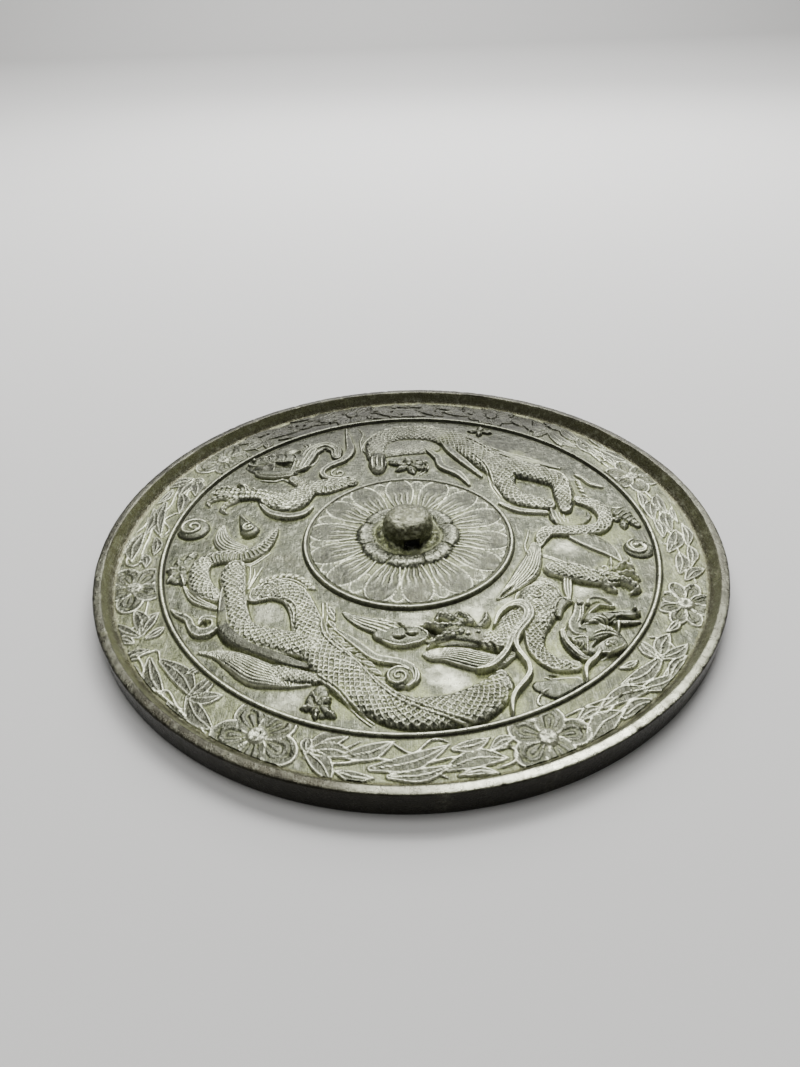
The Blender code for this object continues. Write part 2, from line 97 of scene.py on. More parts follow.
def old_bronze(name, dark=0.0, brown=0.0):
    """Old bronze: grey-green metal, pale dirt in its hollows, pewter where hands rubbed it, and painted shade
    and highlights.
    """
    bronze = bpy.data.materials.new(name)
    bronze.use_nodes = True
    nodes, links = bronze.node_tree.nodes, bronze.node_tree.links
    shader = nodes["Principled BSDF"]
    place = nodes.new("ShaderNodeTexCoord").outputs["Object"]

    def cloud(scale, detail, rough=0.6, low=0.35, high=0.65, stretch=None):
        """Noise of that many patches to a metre, from 0 to 1. A stretch is its turn and its share across."""
        noise = nodes.new("ShaderNodeTexNoise")
        noise.inputs["Scale"].default_value = scale
        noise.inputs["Detail"].default_value = detail
        noise.inputs["Roughness"].default_value = rough
        if stretch:
            drawn_out = nodes.new("ShaderNodeMapping")
            drawn_out.inputs["Rotation"].default_value = (0, 0, stretch[0])
            drawn_out.inputs["Scale"].default_value = (1, stretch[1], 1)
            links.new(place, drawn_out.inputs["Vector"])
            links.new(drawn_out.outputs["Vector"], noise.inputs["Vector"])
        else:
            links.new(place, noise.inputs["Vector"])
        spread = nodes.new("ShaderNodeMapRange")
        spread.inputs["From Min"].default_value = low
        spread.inputs["From Max"].default_value = high
        links.new(noise.outputs["Fac"], spread.inputs["Value"])
        return spread.outputs["Result"]

    def worked(kind, a, b, clamp=True):
        """One sum on two amounts, held between 0 and 1 unless told not to."""
        step = nodes.new("ShaderNodeMath")
        step.operation = kind
        step.use_clamp = clamp
        for socket, value in zip(step.inputs, (a, b)):
            if isinstance(value, (int, float)):
                socket.default_value = value
            else:
                links.new(value, socket)
        return step.outputs["Value"]

    def coat(under, colour, amount):
        """One colour laid over another where amount says."""
        mix = nodes.new("ShaderNodeMix")
        mix.data_type = "RGBA"
        links.new(amount, mix.inputs["Factor"])
        if isinstance(under, tuple):
            mix.inputs["A"].default_value = under
        else:
            links.new(under, mix.inputs["A"])
        mix.inputs["B"].default_value = colour
        return mix.outputs["Result"]

    def told(name):
        """What the mesh itself says of each point."""
        told_by = nodes.new("ShaderNodeAttribute")
        told_by.attribute_name = name
        return told_by.outputs["Fac"]

    times, plus = partial(worked, "MULTIPLY"), partial(worked, "ADD")
    hollow, rubbed = told("hollow"), told("rubbed")
    patches, mottle, specks = cloud(55, 5), cloud(500, 5, 0.65), cloud(1700, 3, 0.6, 0.42, 0.66)
    scratches = worked("MAXIMUM", cloud(3800, 2, 0.5, 0.56, 0.72, (1.47, 0.03)),
                       cloud(3200, 2, 0.5, 0.58, 0.74, (0.12, 0.04)))

    # The metal itself: olive and grey-green, browned in places, with dark spots and fine scratches.
    colour = coat(OLIVE, GREY_GREEN, plus(times(patches, 0.6), times(mottle, 0.4)))
    colour = coat(colour, BROWN, plus(times(cloud(90, 3, 0.6, 0.55, 0.8), 0.35), brown))
    colour = coat(colour, BLACK_BROWN, times(cloud(1300, 4, 0.7, 0.52, 0.8), 0.28))
    colour = coat(colour, PALE_EDGE, times(scratches, 0.2))
    colour = coat(colour, PALE_EDGE, times(cloud(380, 5, 0.7, 0.53, 0.73, (1.0, 0.75)), 0.26))

    # Over it pale dirt in the hollows, then bare metal where rubbed and painted highlights, then tarnish and
    # painted shade.
    settled = plus(times(hollow, 0.55), times(told("dirt"), 0.8))
    settled = times(settled, plus(times(specks, 0.8), 0.25))
    colour = coat(colour, PALE_DIRT, settled)
    bare_and_highlit = times(rubbed, plus(times(mottle, 0.6), 0.5))
    colour = coat(colour, PALE_EDGE, bare_and_highlit)
    stains = times(cloud(140, 6, 0.7, 0.48, 0.72), 0.3)
    tarnish_with_painted_shade = plus(told("shade"), dark)
    tarnish_with_painted_shade = plus(tarnish_with_painted_shade, times(stains, worked("SUBTRACT", 1.0, bare_and_highlit)))
    colour = coat(colour, BLACK_BROWN, times(tarnish_with_painted_shade, 0.92))
    links.new(colour, shader.inputs["Base Color"])

    # Dirt and stains are dull and not metal, and bare metal is the most mirror-like.
    metal = worked("SUBTRACT", 0.70, times(settled, 0.6))
    links.new(plus(metal, times(bare_and_highlit, 0.2)), shader.inputs["Metallic"])
    dull = plus(0.22, times(mottle, 0.14))
    dull = plus(plus(dull, times(settled, 0.35)), times(stains, 0.4))
    links.new(dull, shader.inputs["Roughness"])

    pits = nodes.new("ShaderNodeBump")
    pits.inputs["Strength"].default_value = 0.4
    pits.inputs["Distance"].default_value = 0.0002
    rough = plus(times(cloud(900, 4, 0.6, 0.3, 0.7), 0.8), times(specks, 0.5), clamp=False)
    rough = worked("SUBTRACT", rough, times(scratches, 0.4), clamp=False)
    links.new(rough, pits.inputs["Height"])
    links.new(pits.outputs["Normal"], shader.inputs["Normal"])
    return bronze


def tell(mesh, name, values):
    """Stores a number for each point, which the bronze's colours follow."""
    mesh.attributes.new(name, "FLOAT", "POINT").data.foreach_set("value", values.astype(np.float32))


def as_mesh(name, shape):
    """Makes a finished shape a mesh, with its faces outward."""
    bmesh.ops.recalc_face_normals(shape, faces=shape.faces[:])
    mesh = bpy.data.meshes.new(name)
    shape.to_mesh(mesh)
    shape.free()
    return mesh


def spun(name, outline, steps, scale, weld):
    """Half a section turned right round, as on a lathe, and closed at its seam and poles."""
    turning = bmesh.new()
    points = [turning.verts.new((radius * scale, 0, height * scale)) for radius, height in outline]
    edges = [turning.edges.new(pair) for pair in zip(points, points[1:])]
    bmesh.ops.spin(turning, geom=points + edges, cent=(0, 0, 0), axis=(0, 0, 1), dvec=(0, 0, 0),
                   angle=math.tau, steps=steps, use_merge=True)
    bmesh.ops.remove_doubles(turning, verts=turning.verts[:], dist=weld)
    return as_mesh(name, turning)


def places_of(mesh):
    """Where a mesh's points are: a row for x, a row for y and a row for z."""
    points = np.empty(len(mesh.vertices) * 3)
    mesh.vertices.foreach_get("co", points)
    return points.reshape(-1, 3).T


def put(mesh, x, y, z):
    """Moves a mesh's points to places in millimetres, and smooths its shading."""
    mesh.vertices.foreach_set("co", (np.stack([x, y, z], 1) * MM).ravel())
    mesh.shade_smooth()


def placed(name, data):
    """A new object in the scene."""
    thing = bpy.data.objects.new(name, data)
    bpy.context.scene.collection.objects.link(thing)
    return thing


def finish_piece(name, mesh, bronze):
    """Puts a finished mesh in the scene as a part of the casting."""
    piece = placed(name, mesh)
    mesh.materials.clear()
    mesh.materials.append(bronze)
    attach(piece, "root")
    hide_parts("mirror")


def turned_plate():
    """The plate's section, spun round: rim, outer wall, polished face, and the bed of the relief."""
    rounded = [(DISC_RADIUS - TOP_ROUNDING + TOP_ROUNDING * math.sin(a),
                RIM_TOP - TOP_ROUNDING + TOP_ROUNDING * math.cos(a)) for a in np.linspace(0.25, math.pi / 2, 5)]
    lower = [(DISC_RADIUS - FOOT_ROUNDING + FOOT_ROUNDING * math.cos(a),
              FOOT_ROUNDING - FOOT_ROUNDING * math.sin(a)) for a in np.linspace(0, math.pi / 2, 4)]
    section = [(0, LOTUS_GROUND), (4, LOTUS_GROUND), (9, LOTUS_GROUND), (11.5, UNDER_RELIEF),
               (60, UNDER_RELIEF), (RIM_FOOT - 1.4, UNDER_RELIEF), (RIM_FOOT - 0.6, 3.8)]
    section += [(RIM_FOOT + (RIM_INSIDE - RIM_FOOT) * out,
                 BORDER_GROUND + (RIM_TOP - 0.25 - BORDER_GROUND) * up) for out, up in INNER_SLOPE]
    section += [(RIM_INSIDE + 0.35, RIM_TOP - 0.06), (RIM_INSIDE + 0.9, RIM_TOP), (RIM_INSIDE + 1.5, RIM_TOP),
                (DISC_RADIUS - 1.2, RIM_TOP)]
    section += rounded
    section += [(DISC_RADIUS, height) for height in WALL_HEIGHTS]
    section += lower
    section += [(DISC_RADIUS - 2, 0), (DISC_RADIUS - 12, 0), (DISC_RADIUS - 40, 0), (30, 0), (0, 0)]
    return spun("mirror_plate", section, PLATE_STEPS, 1, 0.001)


plate_mesh = turned_plate()
x, y, z = places_of(plate_mesh)
radius, turn = np.hypot(x, y), np.degrees(np.arctan2(y, x))

# Age has bent, nicked and blunted the rim's edges; the flat face and the bed stay true.
on_rim = np.clip((radius - RIM_FOOT + 1) / 2, 0, 1) * np.clip(z / 1.2, 0, 1)
edge = np.clip((z - 8.2) / 1.2, 0, 1) * on_rim
nick = np.clip(grain(turn * 2.1, z * 1.2, 1.6, 5) - 0.62, 0, 1) * edge
wave = 0.09 * grain(x, y, 9, 1) + 0.035 * grain(x + z, y - z, 2.2, 2)
radius_now = radius + on_rim * np.where(radius > DISC_RADIUS - 3, 1, -1) * (wave - 0.1) - nick * 0.7
swing = np.divide(radius_now, radius, out=np.ones_like(radius), where=radius > 1)
z = z + edge * (0.06 * grain(x, y, 5, 3) + 0.03 * grain(x, y, 1.4, 4) - 0.06) - nick * 0.5
put(plate_mesh, x * swing, y * swing, z)

# The outer wall is black with tarnish. The top is rubbed in patches, with painted shade towards the far side
# and the left, and a painted highlight where it lies nearest.
top = np.clip((z - 9.0) / 0.3, 0, 1)
outer_wall = (radius > DISC_RADIUS - 1) * (1 - top)
painted_glint = np.clip(1.3 - np.abs(turn + 67) / 28, 0, 1)
left_side = np.clip(-x / 90, 0, 1)
wall_tarnish = outer_wall + 0.02 * np.clip((z - 5.0) / 2.5, 0, 1) * (1 - top)
top_tarnish_and_shade = top * (0.58 + 0.24 * np.clip(y / 90, 0, 1) + 0.12 * left_side) * (1 - painted_glint)
tell(plate_mesh, "shade", np.clip(wall_tarnish * (0.95 + 0.25 * grain(x, y, 6, 6)) + top_tarnish_and_shade, 0, 1))
tell(plate_mesh, "hollow", np.clip(0.6 - np.abs(z - BORDER_GROUND), 0, 1) * (radius < DISC_RADIUS - 4))
tell(plate_mesh, "rubbed", top * np.clip(0.12 + 0.3 * grain(x, y, 14, 7) + 0.9 * painted_glint, 0, 1))
# The inner slope holds pale dirt, and is painted lighter towards the left.
inner_wall = np.clip((z - 5) / 2, 0, 1) * (1 - top) * (radius < DISC_RADIUS - 1)
tell(plate_mesh, "dirt", np.clip(grain(x, y, 7, 8) - 0.55, 0, 1) * (1 - top) * 0.5
     + (0.2 + 0.22 * left_side) * inner_wall)
finish_piece("mirror_plate", plate_mesh, old_bronze("rim_bronze", dark=0.08, brown=0.65))


# The flower border: a ring of flowers and leaf sprays between the rim's foot and the ring
# ridge, carved in the mould and cast with the plate, worn soft where it stood proud.
FIELD_GROUND = 3.7
FIELD_RING = 96.6
BORDER_INSIDE = 94.85
RELIEF_BED = 1.2
RING_TOP = 5.3
RING_HALF = 1.7
CELL = 0.36
FINEST_HALF = 0.12


def smooth_route(route, step=0.9):
    """Points (x, y, half width) about a step apart on a smooth curve through the route."""
    knots = np.array(route, float)
    knots = np.vstack([knots[:1], knots, knots[-1:]])
    curve = []
    for a, b, c, d in zip(knots, knots[1:], knots[2:], knots[3:]):
        count = max(1, round(math.dist(b[:2], c[:2]) / step))
        t = np.arange(count)[:, None] / count
        curve.append(0.5 * (2 * b + (c - a) * t + (2 * a - 5 * b + 4 * c - d) * t ** 2
                            + (3 * b - a - 3 * c + d) * t ** 3))
    curve.append(knots[-1:])
    curve = np.vstack(curve)
    curve[:, 2] = np.maximum(curve[:, 2], FINEST_HALF)
    return curve


class Wax:
    """The founder's wax: where its points are, how high it stands there, how it has aged, and its painted light
    and shade.
    """

    def __init__(self, x, y, ground):
        self.x, self.y, self.ground = x, y, ground
        self.z = np.full(x.shape, float(ground))
        self.dirt, self.shade, self.bright = np.zeros(x.shape), np.zeros(x.shape), np.zeros(x.shape)

    def along(self, route, step=0.9):
        """The wax beside a line: which points, run along it, side (-1 to 1, left is +), half width."""
        line = smooth_route(route, step)
        reach = line[:, 2].max()
        pick = np.flatnonzero((self.x > line[:, 0].min() - reach) & (self.x < line[:, 0].max() + reach)
                              & (self.y > line[:, 1].min() - reach) & (self.y < line[:, 1].max() + reach))
        start, way = line[:-1], np.diff(line, axis=0)
        length = np.maximum(np.hypot(way[:, 0], way[:, 1]), 1e-6)
        run = np.concatenate([[0], np.cumsum(length)])
        away_x = self.x[pick, None] - start[:, 0]
        away_y = self.y[pick, None] - start[:, 1]
        share = np.clip((away_x * way[:, 0] + away_y * way[:, 1]) / length ** 2, 0, 1)
        gap = (away_x - share * way[:, 0]) ** 2 + (away_y - share * way[:, 1]) ** 2
        half = start[:, 2] + share * way[:, 2]
        best = (gap / half ** 2).argmin(1) if len(pick) else np.zeros(0, int)
        row = np.arange(len(pick))
        share, half = share[row, best], half[row, best]
        left = np.sign(way[best, 0] * away_y[row, best] - way[best, 1] * away_x[row, best])
        side = left * np.sqrt(gap[row, best]) / half
        inside = np.abs(side) < 1
        ran = run[best] + share * length[best]
        return Skin(pick[inside], ran[inside], side[inside], half[inside], run[-1])

    def form(self, route, rise, above=0, crown=4.5):
        """A raised body along a route, flat-topped with steep sides. Gives back the skin on top."""
        skin = self.along(route)
        widest = max(half for _, _, half in route)
        height = self.ground + above
        height = height + rise * (skin.half / widest) ** 0.6 * (1 - np.abs(skin.side) ** crown) ** 0.6
        on_top = height > self.z[skin.pick]
        skin = skin.where(on_top)
        self.z[skin.pick] = height[on_top]
        self.bright[skin.pick] = 0
        self.shade[skin.pick] = 0
        return skin

    def mark(self, pick, amount):
        """Says how pale the edges are there, where wear and dirt have picked them out."""
        self.bright[pick] = np.maximum(self.bright[pick], amount)

    def darken(self, pick, amount):
        """Says how much darker it is painted there, as painted shade, unless it is darker already."""
        self.shade[pick] = np.maximum(self.shade[pick], amount)

    def line(self, points, half, rise, fade=True):
        """A fine raised line, or with a negative rise a cut one, on what is already there."""
        ends = (0, len(points) - 1) if fade else ()
        skin = self.along([(x, y, half * (0.55 if n in ends else 1)) for n, (x, y) in enumerate(points)], 0.7)
        from_end = np.minimum(skin.run, skin.length - skin.run) / (3 * half) if fade else 1
        strength = (1 - skin.side ** 2) * np.clip(0.35 + from_end, 0, 1)
        self.z[skin.pick] += rise * strength
        # A raised line is marked pale; a cut one loses its pale marks and gets painted shade in its groove.
        if rise > 0:
            self.mark(skin.pick, strength ** 1.4)
        else:
            self.bright[skin.pick] *= 1 - strength
            self.darken(skin.pick, 0.55 * strength)

    def lines(self, *lines):
        """Several lines, each as its points, half width and rise."""
        for points, half, rise in lines:
            self.line(points, half, rise)

    def near(self, x, y, radius):
        """The points within that radius of a place, and how far out each is, from 0 to 1."""
        far = np.hypot(self.x - x, self.y - y) / radius
        pick = np.flatnonzero(far < 1)
        return pick, far[pick]

    def boss(self, x, y, radius, rise, crown=2.2):
        """A low round mound."""
        pick, far = self.near(x, y, radius)
        self.z[pick] = np.maximum(self.z[pick], self.ground + rise * (1 - far ** crown) ** 0.6)
        return pick

    def dimple(self, x, y, radius, depth):
        """A shallow round hollow."""
        pick, far = self.near(x, y, radius)
        self.z[pick] -= depth * (1 - far ** 2)

    def curl(self, x, y, radius, turns, start, rise, half, tail=()):
        """A spiral line that winds in to its eye; tail is what leads up to it."""
        count = max(6, round(turns * 9))
        spiral = []
        for n in range(count + 1):
            share = n / count
            angle = math.radians(start) + math.tau * turns * share
            out = radius * (1 - 0.86 * share)
            spiral.append((x + out * math.cos(angle), y + out * math.sin(angle)))
        self.line(list(tail) + spiral, half, rise, fade=False)

    def soil(self, x, y, radius, amount):
        """Pale dirt that has settled about a place."""
        far = np.hypot(self.x - x, self.y - y) / radius
        self.dirt = np.maximum(self.dirt, amount * np.clip(1 - far, 0, 1) ** 0.7)


class Skin:
    """The top of one form: which points, run along it, side, half width, and its whole length."""

    def __init__(self, pick, run, side, half, length):
        self.pick, self.run, self.side, self.half, self.length = pick, run, side, half, length

    def where(self, chosen):
        """Only the chosen part of it."""
        return Skin(self.pick[chosen], self.run[chosen], self.side[chosen], self.half[chosen], self.length)


def veins(wax, skin, count, depth):
    """Fine ribs that run along a form and fan out with it."""
    ribs = 0.5 + 0.5 * np.cos(math.pi * count * skin.side)
    wax.z[skin.pick] += depth * (ribs - 0.6) * (1 - skin.side ** 4)
    wax.mark(skin.pick, 0.8 * np.clip(ribs * 2.2 - 1.2, 0, 1) * (1 - skin.side ** 4))


def edged(wax, skin, inset, rise, width=0.3, pale=1.0):
    """A raised line that follows both edges of a form."""
    from_edge = (1 - np.abs(skin.side)) * skin.half
    ridge = np.exp(-((from_edge - inset) / width) ** 2)
    wax.z[skin.pick] += rise * ridge
    wax.mark(skin.pick, pale * ridge ** 1.5)


def ring_profile(radius, ridge, inside_ground, outside_ground):
    """The section of a thin ring ridge: a bead between two grounds, with a cut line at each foot."""
    outs = ridge + np.array([-RING_HALF, -1.35, -1.0, -0.6, -0.1, 0.45, 0.95, 1.3, RING_HALF])
    return np.interp(radius, outs, [inside_ground, inside_ground - 0.12, inside_ground + 0.15, RING_TOP - 0.2,
                                    RING_TOP, RING_TOP - 0.2, outside_ground + 0.1, outside_ground - 0.12,
                                    outside_ground])


def ring_tone(wax, radius, ridge):
    """A ring ridge gets painted shade on its flanks and all over on the far side, and a painted highlight on
    its crest that fades out towards the far side.
    """
    aside = np.abs(radius - ridge)
    reach = RING_HALF + 0.2
    beside = aside < reach
    flank = np.clip(aside * 2 - 0.8, 0, 1) * np.clip((reach - aside) * 2, 0, 1)
    beyond = np.clip(wax.y / 40, 0, 1)
    wax.shade = np.where(beside, 0.75 * np.maximum(flank, 0.85 * beyond), wax.shade)
    wax.bright = np.where(beside, 0.2 * np.clip(1 - aside / 0.55, 0, 1) * (1 - beyond), wax.bright)


def softened(sheet, rows, columns):
    """A running mean over that many cells, round the ring and across it."""
    for _ in range(2):
        sheet = sum(np.roll(sheet, n, axis=1) for n in range(-columns, columns + 1)) / (2 * columns + 1)
        padded = np.pad(sheet, ((rows, rows), (0, 0)), mode="edge")
        sheet = sum(padded[n:n + sheet.shape[0]] for n in range(2 * rows + 1)) / (2 * rows + 1)
    return sheet


def relief_ring(name, inner, outer, carve, bronze, cell=CELL):
    """A closed ring of casting: a fine sheet carved by the given function, with walls and a bed.

    It starts as a flat grid. The grid's ends are welded into a ring, its two open edges are drawn
    down, and the bed is bridged between them.
    """
    rows = max(3, round((outer - inner) / cell))
    around = round(math.tau * (inner + outer) / 2 / cell)
    sheet = bmesh.new()
    bmesh.ops.create_grid(sheet, x_segments=around, y_segments=rows, size=0.5)
    first = {round((v.co.y + 0.5) * rows): v for v in sheet.verts if v.co.x < -0.5 + 0.4 / around}
    last = {v: first[round((v.co.y + 0.5) * rows)] for v in sheet.verts if v.co.x > 0.5 - 0.4 / around}
    bmesh.ops.weld_verts(sheet, targetmap=last)
    rims = [edge for edge in sheet.edges if edge.is_boundary]
    drawn = bmesh.ops.extrude_edge_only(sheet, edges=rims)["geom"]
    bmesh.ops.translate(sheet, vec=(0, 0, -1), verts=[v for v in drawn if isinstance(v, bmesh.types.BMVert)])
    feet = [e for e in drawn if isinstance(e, bmesh.types.BMEdge) and e.is_boundary]
    bmesh.ops.bridge_loops(sheet, edges=feet)
    mesh = bpy.data.meshes.new(name)
    sheet.to_mesh(mesh)
    sheet.free()

    u, v, drop = places_of(mesh)
    column = np.round((u + 0.5) * around).astype(int) % around
    row = np.round((v + 0.5) * rows).astype(int) + 1

    # The carving is worked out one row beyond each edge, so that its slopes are true there too.
    radii = inner + (outer - inner) * (np.arange(-1, rows + 2) / rows)
    turns = math.tau * np.arange(around) / around
    grid_radius, grid_turn = np.meshgrid(radii, turns, indexing="ij")
    x, y = grid_radius * np.cos(grid_turn), grid_radius * np.sin(grid_turn)
    wax = carve(x.ravel(), y.ravel())
    height = wax.z.reshape(x.shape)
    slope_out = np.gradient(height, radii, axis=0)
    slope_round = (np.roll(height, -1, 1) - np.roll(height, 1, 1)) / (2 * math.tau / around) / grid_radius
    normal = np.stack([-slope_out * np.cos(grid_turn) + slope_round * np.sin(grid_turn),
                       -slope_out * np.sin(grid_turn) - slope_round * np.cos(grid_turn),
                       np.ones_like(height)], -1)
    normal /= np.linalg.norm(normal, axis=-1, keepdims=True)

    # What lies lower than its surroundings holds dirt, and what stands higher is rubbed.
    deep, broad = softened(height, 2, 2), softened(height, 6, 6)
    hollow = np.clip((deep - height) * 2.2 + (broad - height) * 0.7, 0, 1)
    # The pale marks carried in from the carving also hold painted highlights.
    rubbed = np.clip(wax.bright.reshape(x.shape) + (height - deep) * 1.2 - 0.05, 0, 1)
    # Steep walls get painted shade.
    steep = np.clip(np.hypot(slope_out, slope_round) - 0.7, 0, 1)
    shade = np.clip(wax.shade.reshape(x.shape) + 0.22 * steep, 0, 1)
    z = np.where(drop < -0.5, RELIEF_BED, height[row, column])
    put(mesh, x[row, column], y[row, column], z)
    shell = bmesh.new()
    shell.from_mesh(mesh)
    bmesh.ops.recalc_face_normals(shell, faces=shell.faces[:])
    shell.to_mesh(mesh)
    shell.free()
    mesh.normals_split_custom_set_from_vertices(normal[row, column].tolist())
    dirt = wax.dirt.reshape(x.shape)
    for kind, amount in (("hollow", hollow), ("rubbed", rubbed), ("dirt", dirt), ("shade", shade)):
        tell(mesh, kind, amount[row, column])
    finish_piece(name, mesh, bronze)


FLOWER_RADIUS = 106.3
# Flowers: turn round the border, petals, and how far they reach.
FLOWERS = ((-117, 5, 10.5), (-69, 5, 9.5), (-25, 8, 9.5), (20.4, 6, 9.5),
           (65, 8, 9.5), (104, 5, 9.5), (143, 5, 10), (194, 5, 9.5))
FLOWER_STRETCH = 1.15
# A petal's outline: share of the flower's reach, and share of the petal's half width.
PETAL_OUTLINE = ((0.25, 0.4), (0.5, 0.8), (0.75, 1.0), (0.92, 0.7), (1.0, 0.4))
BORDER_RISE = 0.85
LEAF_LONGER = 1.1
LEAF_WIDER = 1.28
# Sprays between flowers: leaves from root to tip with their half width, then stems.
LEFT_SPRAY = (
    ((-94, -50, -99.5, -38.5, 2.4), (-94, -50, -91, -40, 2.2), (-95, -51, -105, -44.5, 2.2),
     (-92, -52, -87.5, -47, 1.6), (-96, -54, -102.5, -52.5, 1.7), (-90, -58, -97, -63, 2),
     (-88.5, -62, -80.5, -76.5, 2.4), (-84, -63, -71.5, -78, 2.8), (-93, -64.5, -88.5, -72, 1.6),
     (-72, -79, -62.5, -91, 2.6), (-72, -79, -66, -70.5, 2.2), (-72, -79, -62, -78.5, 2.2),
     (-78, -81, -70, -89, 1.8), (-75, -70, -69, -66.5, 1.3)),
    (((-97, -57), (-91, -63), (-86, -73), (-78, -80), (-64, -93)), ((-96, -33), (-95, -42), (-94, -50)),
     ((-98, -58), (-94, -61), (-87, -58), (-85, -62)), ((-83, -77), (-79, -76), (-74, -83), (-69, -84)),
     ((-101, -48), (-97, -46), (-96, -40))))
NEAR_SPRAY = (
    ((-33, -101, -21.5, -96.5, 2.6), (-33, -101, -20, -103, 2.3), (-33, -101, -26, -110.5, 2.5),
     (-33, -101, -32.5, -96.5, 1.6), (-22, -103, -8.5, -99, 2.4), (-14, -107.5, 7, -101, 2.5),
     (-9, -110.5, 8, -107.5, 1.9), (-24, -108, -14, -110.5, 1.6), (-6, -97.8, 4, -97.2, 1.1),
     (8, -108.5, 24, -106, 2.7), (10, -102, 20, -98.8, 1.9), (11, -111, 22, -111, 1.2),
     (21, -102.5, 28, -99, 1.6)),
    (((-34, -103), (-24, -105.5), (-12, -104.5), (-2, -107), (9, -105), (18, -104), (28, -101.5)),
     ((-8, -99), (-2, -103), (4, -98.5), (9, -99.5)), ((22, -109), (27, -107), (28, -103.5), (24, -100.5)),
     ((-27, -99), (-22, -100.5), (-17, -98)), ((-4, -111), (2, -109.8), (8, -111.5))))
RIGHT_SPRAY = (
    ((50, -101.5, 61.5, -91.5, 3), (57, -88.5, 72.5, -83, 2.5), (48, -94, 56, -89.5, 1.6),
     (80, -70, 65.5, -79.5, 2.4), (80, -70, 75.5, -62, 2), (80, -70, 86, -60, 2.3),
     (80, -70, 90, -64.5, 1.9), (70, -82.5, 82.5, -77, 2.2), (62, -93, 73, -87.5, 2),
     (86, -58, 91, -53, 1.4), (80, -79.5, 88.5, -70, 1.7), (66, -73.5, 72, -70.5, 1.2)),
    (((44, -92), (55, -87), (62, -85), (75, -81), (81, -74)), ((62, -97), (72, -90.5), (82, -82)),
     ((60, -92), (66, -86), (67, -79), (72, -78)), ((84, -73), (86, -66), (83.5, -62), (79, -60)),
     ((50, -88), (54, -92), (61, -88), (64, -82))))
EAST_SPRAY = (
    ((101, -32, 109, -27, 2), (100, -28, 103, -17, 2.3), (106, -23, 108, -13, 1.9),
     (100, -15, 106, -3, 2.6), (108, -12, 110, 1, 1.8), (100.5, -6, 100, 5, 1.9), (104.5, -2, 107, 10, 2.4),
     (100, 6, 103.5, 18, 2.3), (106, 10, 106.5, 22, 2.2), (98, 14, 99, 25, 1.7), (109, 3, 110, 13, 1.2)),
    (((104, -34), (103, -20), (104, -8), (102.5, 4), (104.5, 14), (102, 26)),
     ((98, -10), (103, -12), (108, -7), (106, -2)), ((98, 10), (102, 12), (108, 8), (110, 16)),
     ((99, -24), (104, -26), (108, -21))))
# Which spray fills the gap after each flower, and how far round from its own place it is turned.
GAPS = ((NEAR_SPRAY, 0), (RIGHT_SPRAY, 0), (EAST_SPRAY, 0), (RIGHT_SPRAY, 89.4), (EAST_SPRAY, 87),
        (RIGHT_SPRAY, 171), (NEAR_SPRAY, 261.5), (LEFT_SPRAY, 0))


def polar(radius, degrees):
    """The place at that radius and turn."""
    angle = math.radians(degrees)
    return radius * math.cos(angle), radius * math.sin(angle)


def petalled_flower(wax, x, y, turn, petals, reach):
    """An open flower: round petals with raised rims and fine ribs about a beaded eye."""
    aside, out = polar(1.0, turn + 90), polar(1.0, turn)
    for petal in range(petals):
        along, away = polar(1.0, petal * 360 / petals + 12)
        out_x = along * aside[0] * FLOWER_STRETCH + away * out[0]
        out_y = along * aside[1] * FLOWER_STRETCH + away * out[1]
        reach_here = reach * (0.78 + 0.22 * abs(along))
        wide = 2.75 * reach / petals
        skin = wax.form([(x + out_x * reach_here * share, y + out_y * reach_here * share, wide * full)
                         for share, full in PETAL_OUTLINE], BORDER_RISE, crown=6)
        wax.z[skin.pick] -= 0.4 * (1 - skin.side ** 2) ** 1.2
        wax.shade[skin.pick] = 0.35 * (1 - skin.side ** 4)
        edged(wax, skin, 0.4, 0.25, 0.35)
        ribs = wax.along([(x + out_x * reach * share, y + out_y * reach * share, wide * full * 0.7)
                          for share, full in ((0.3, 0.4), (0.7, 1.0))])
        wax.z[ribs.pick] += 0.15 * np.cos(math.pi * 3 * ribs.side)
    eye = wax.boss(x, y, 3.2, 1.3, crown=5)
    wax.shade[eye] = 0.4
    wax.mark(np.flatnonzero(np.abs(np.hypot(wax.x - x, wax.y - y) - 2.8) < 0.4), 1.0)
    wax.dimple(x, y, 2.3, 0.3)


def veined_leaf(wax, root_x, root_y, tip_x, tip_y, half):
    """A flat pointed leaf with a pale raised edge, a midrib and slanting side ribs."""
    bend = 0.09 if (root_x + tip_y) % 2 < 1 else -0.09
    along_x, along_y = LEAF_LONGER * (tip_x - root_x), LEAF_LONGER * (tip_y - root_y)
    half *= LEAF_WIDER
    middle = (root_x + 0.5 * along_x - bend * along_y, root_y + 0.5 * along_y + bend * along_x)
    tip = (root_x + along_x, root_y + along_y)
    skin = wax.form([(root_x, root_y, 0.35 * half), (*middle, half), (*tip, 0.1 * half)], BORDER_RISE, crown=7)
    from_edge = (1 - np.abs(skin.side)) * skin.half
    slant = 0.5 + 0.5 * np.cos(math.tau * (skin.run / 1.9 - np.abs(skin.side) * 0.9))
    wax.z[skin.pick] -= (0.16 + 0.07 * slant) * np.clip(from_edge * 2 - 0.8, 0, 1)
    # Towards the left the leaf faces get more painted shade and fainter pale edges.
    left = min(max(-root_x / 70, 0), 1)
    wax.shade[skin.pick] = (0.36 + 0.18 * left) * np.clip(from_edge * 2 - 0.6, 0, 1)
    edged(wax, skin, 0.3, 0.2, pale=0.85 - 0.3 * left)
    wax.line([(root_x, root_y), middle, tip], 0.32, 0.3)


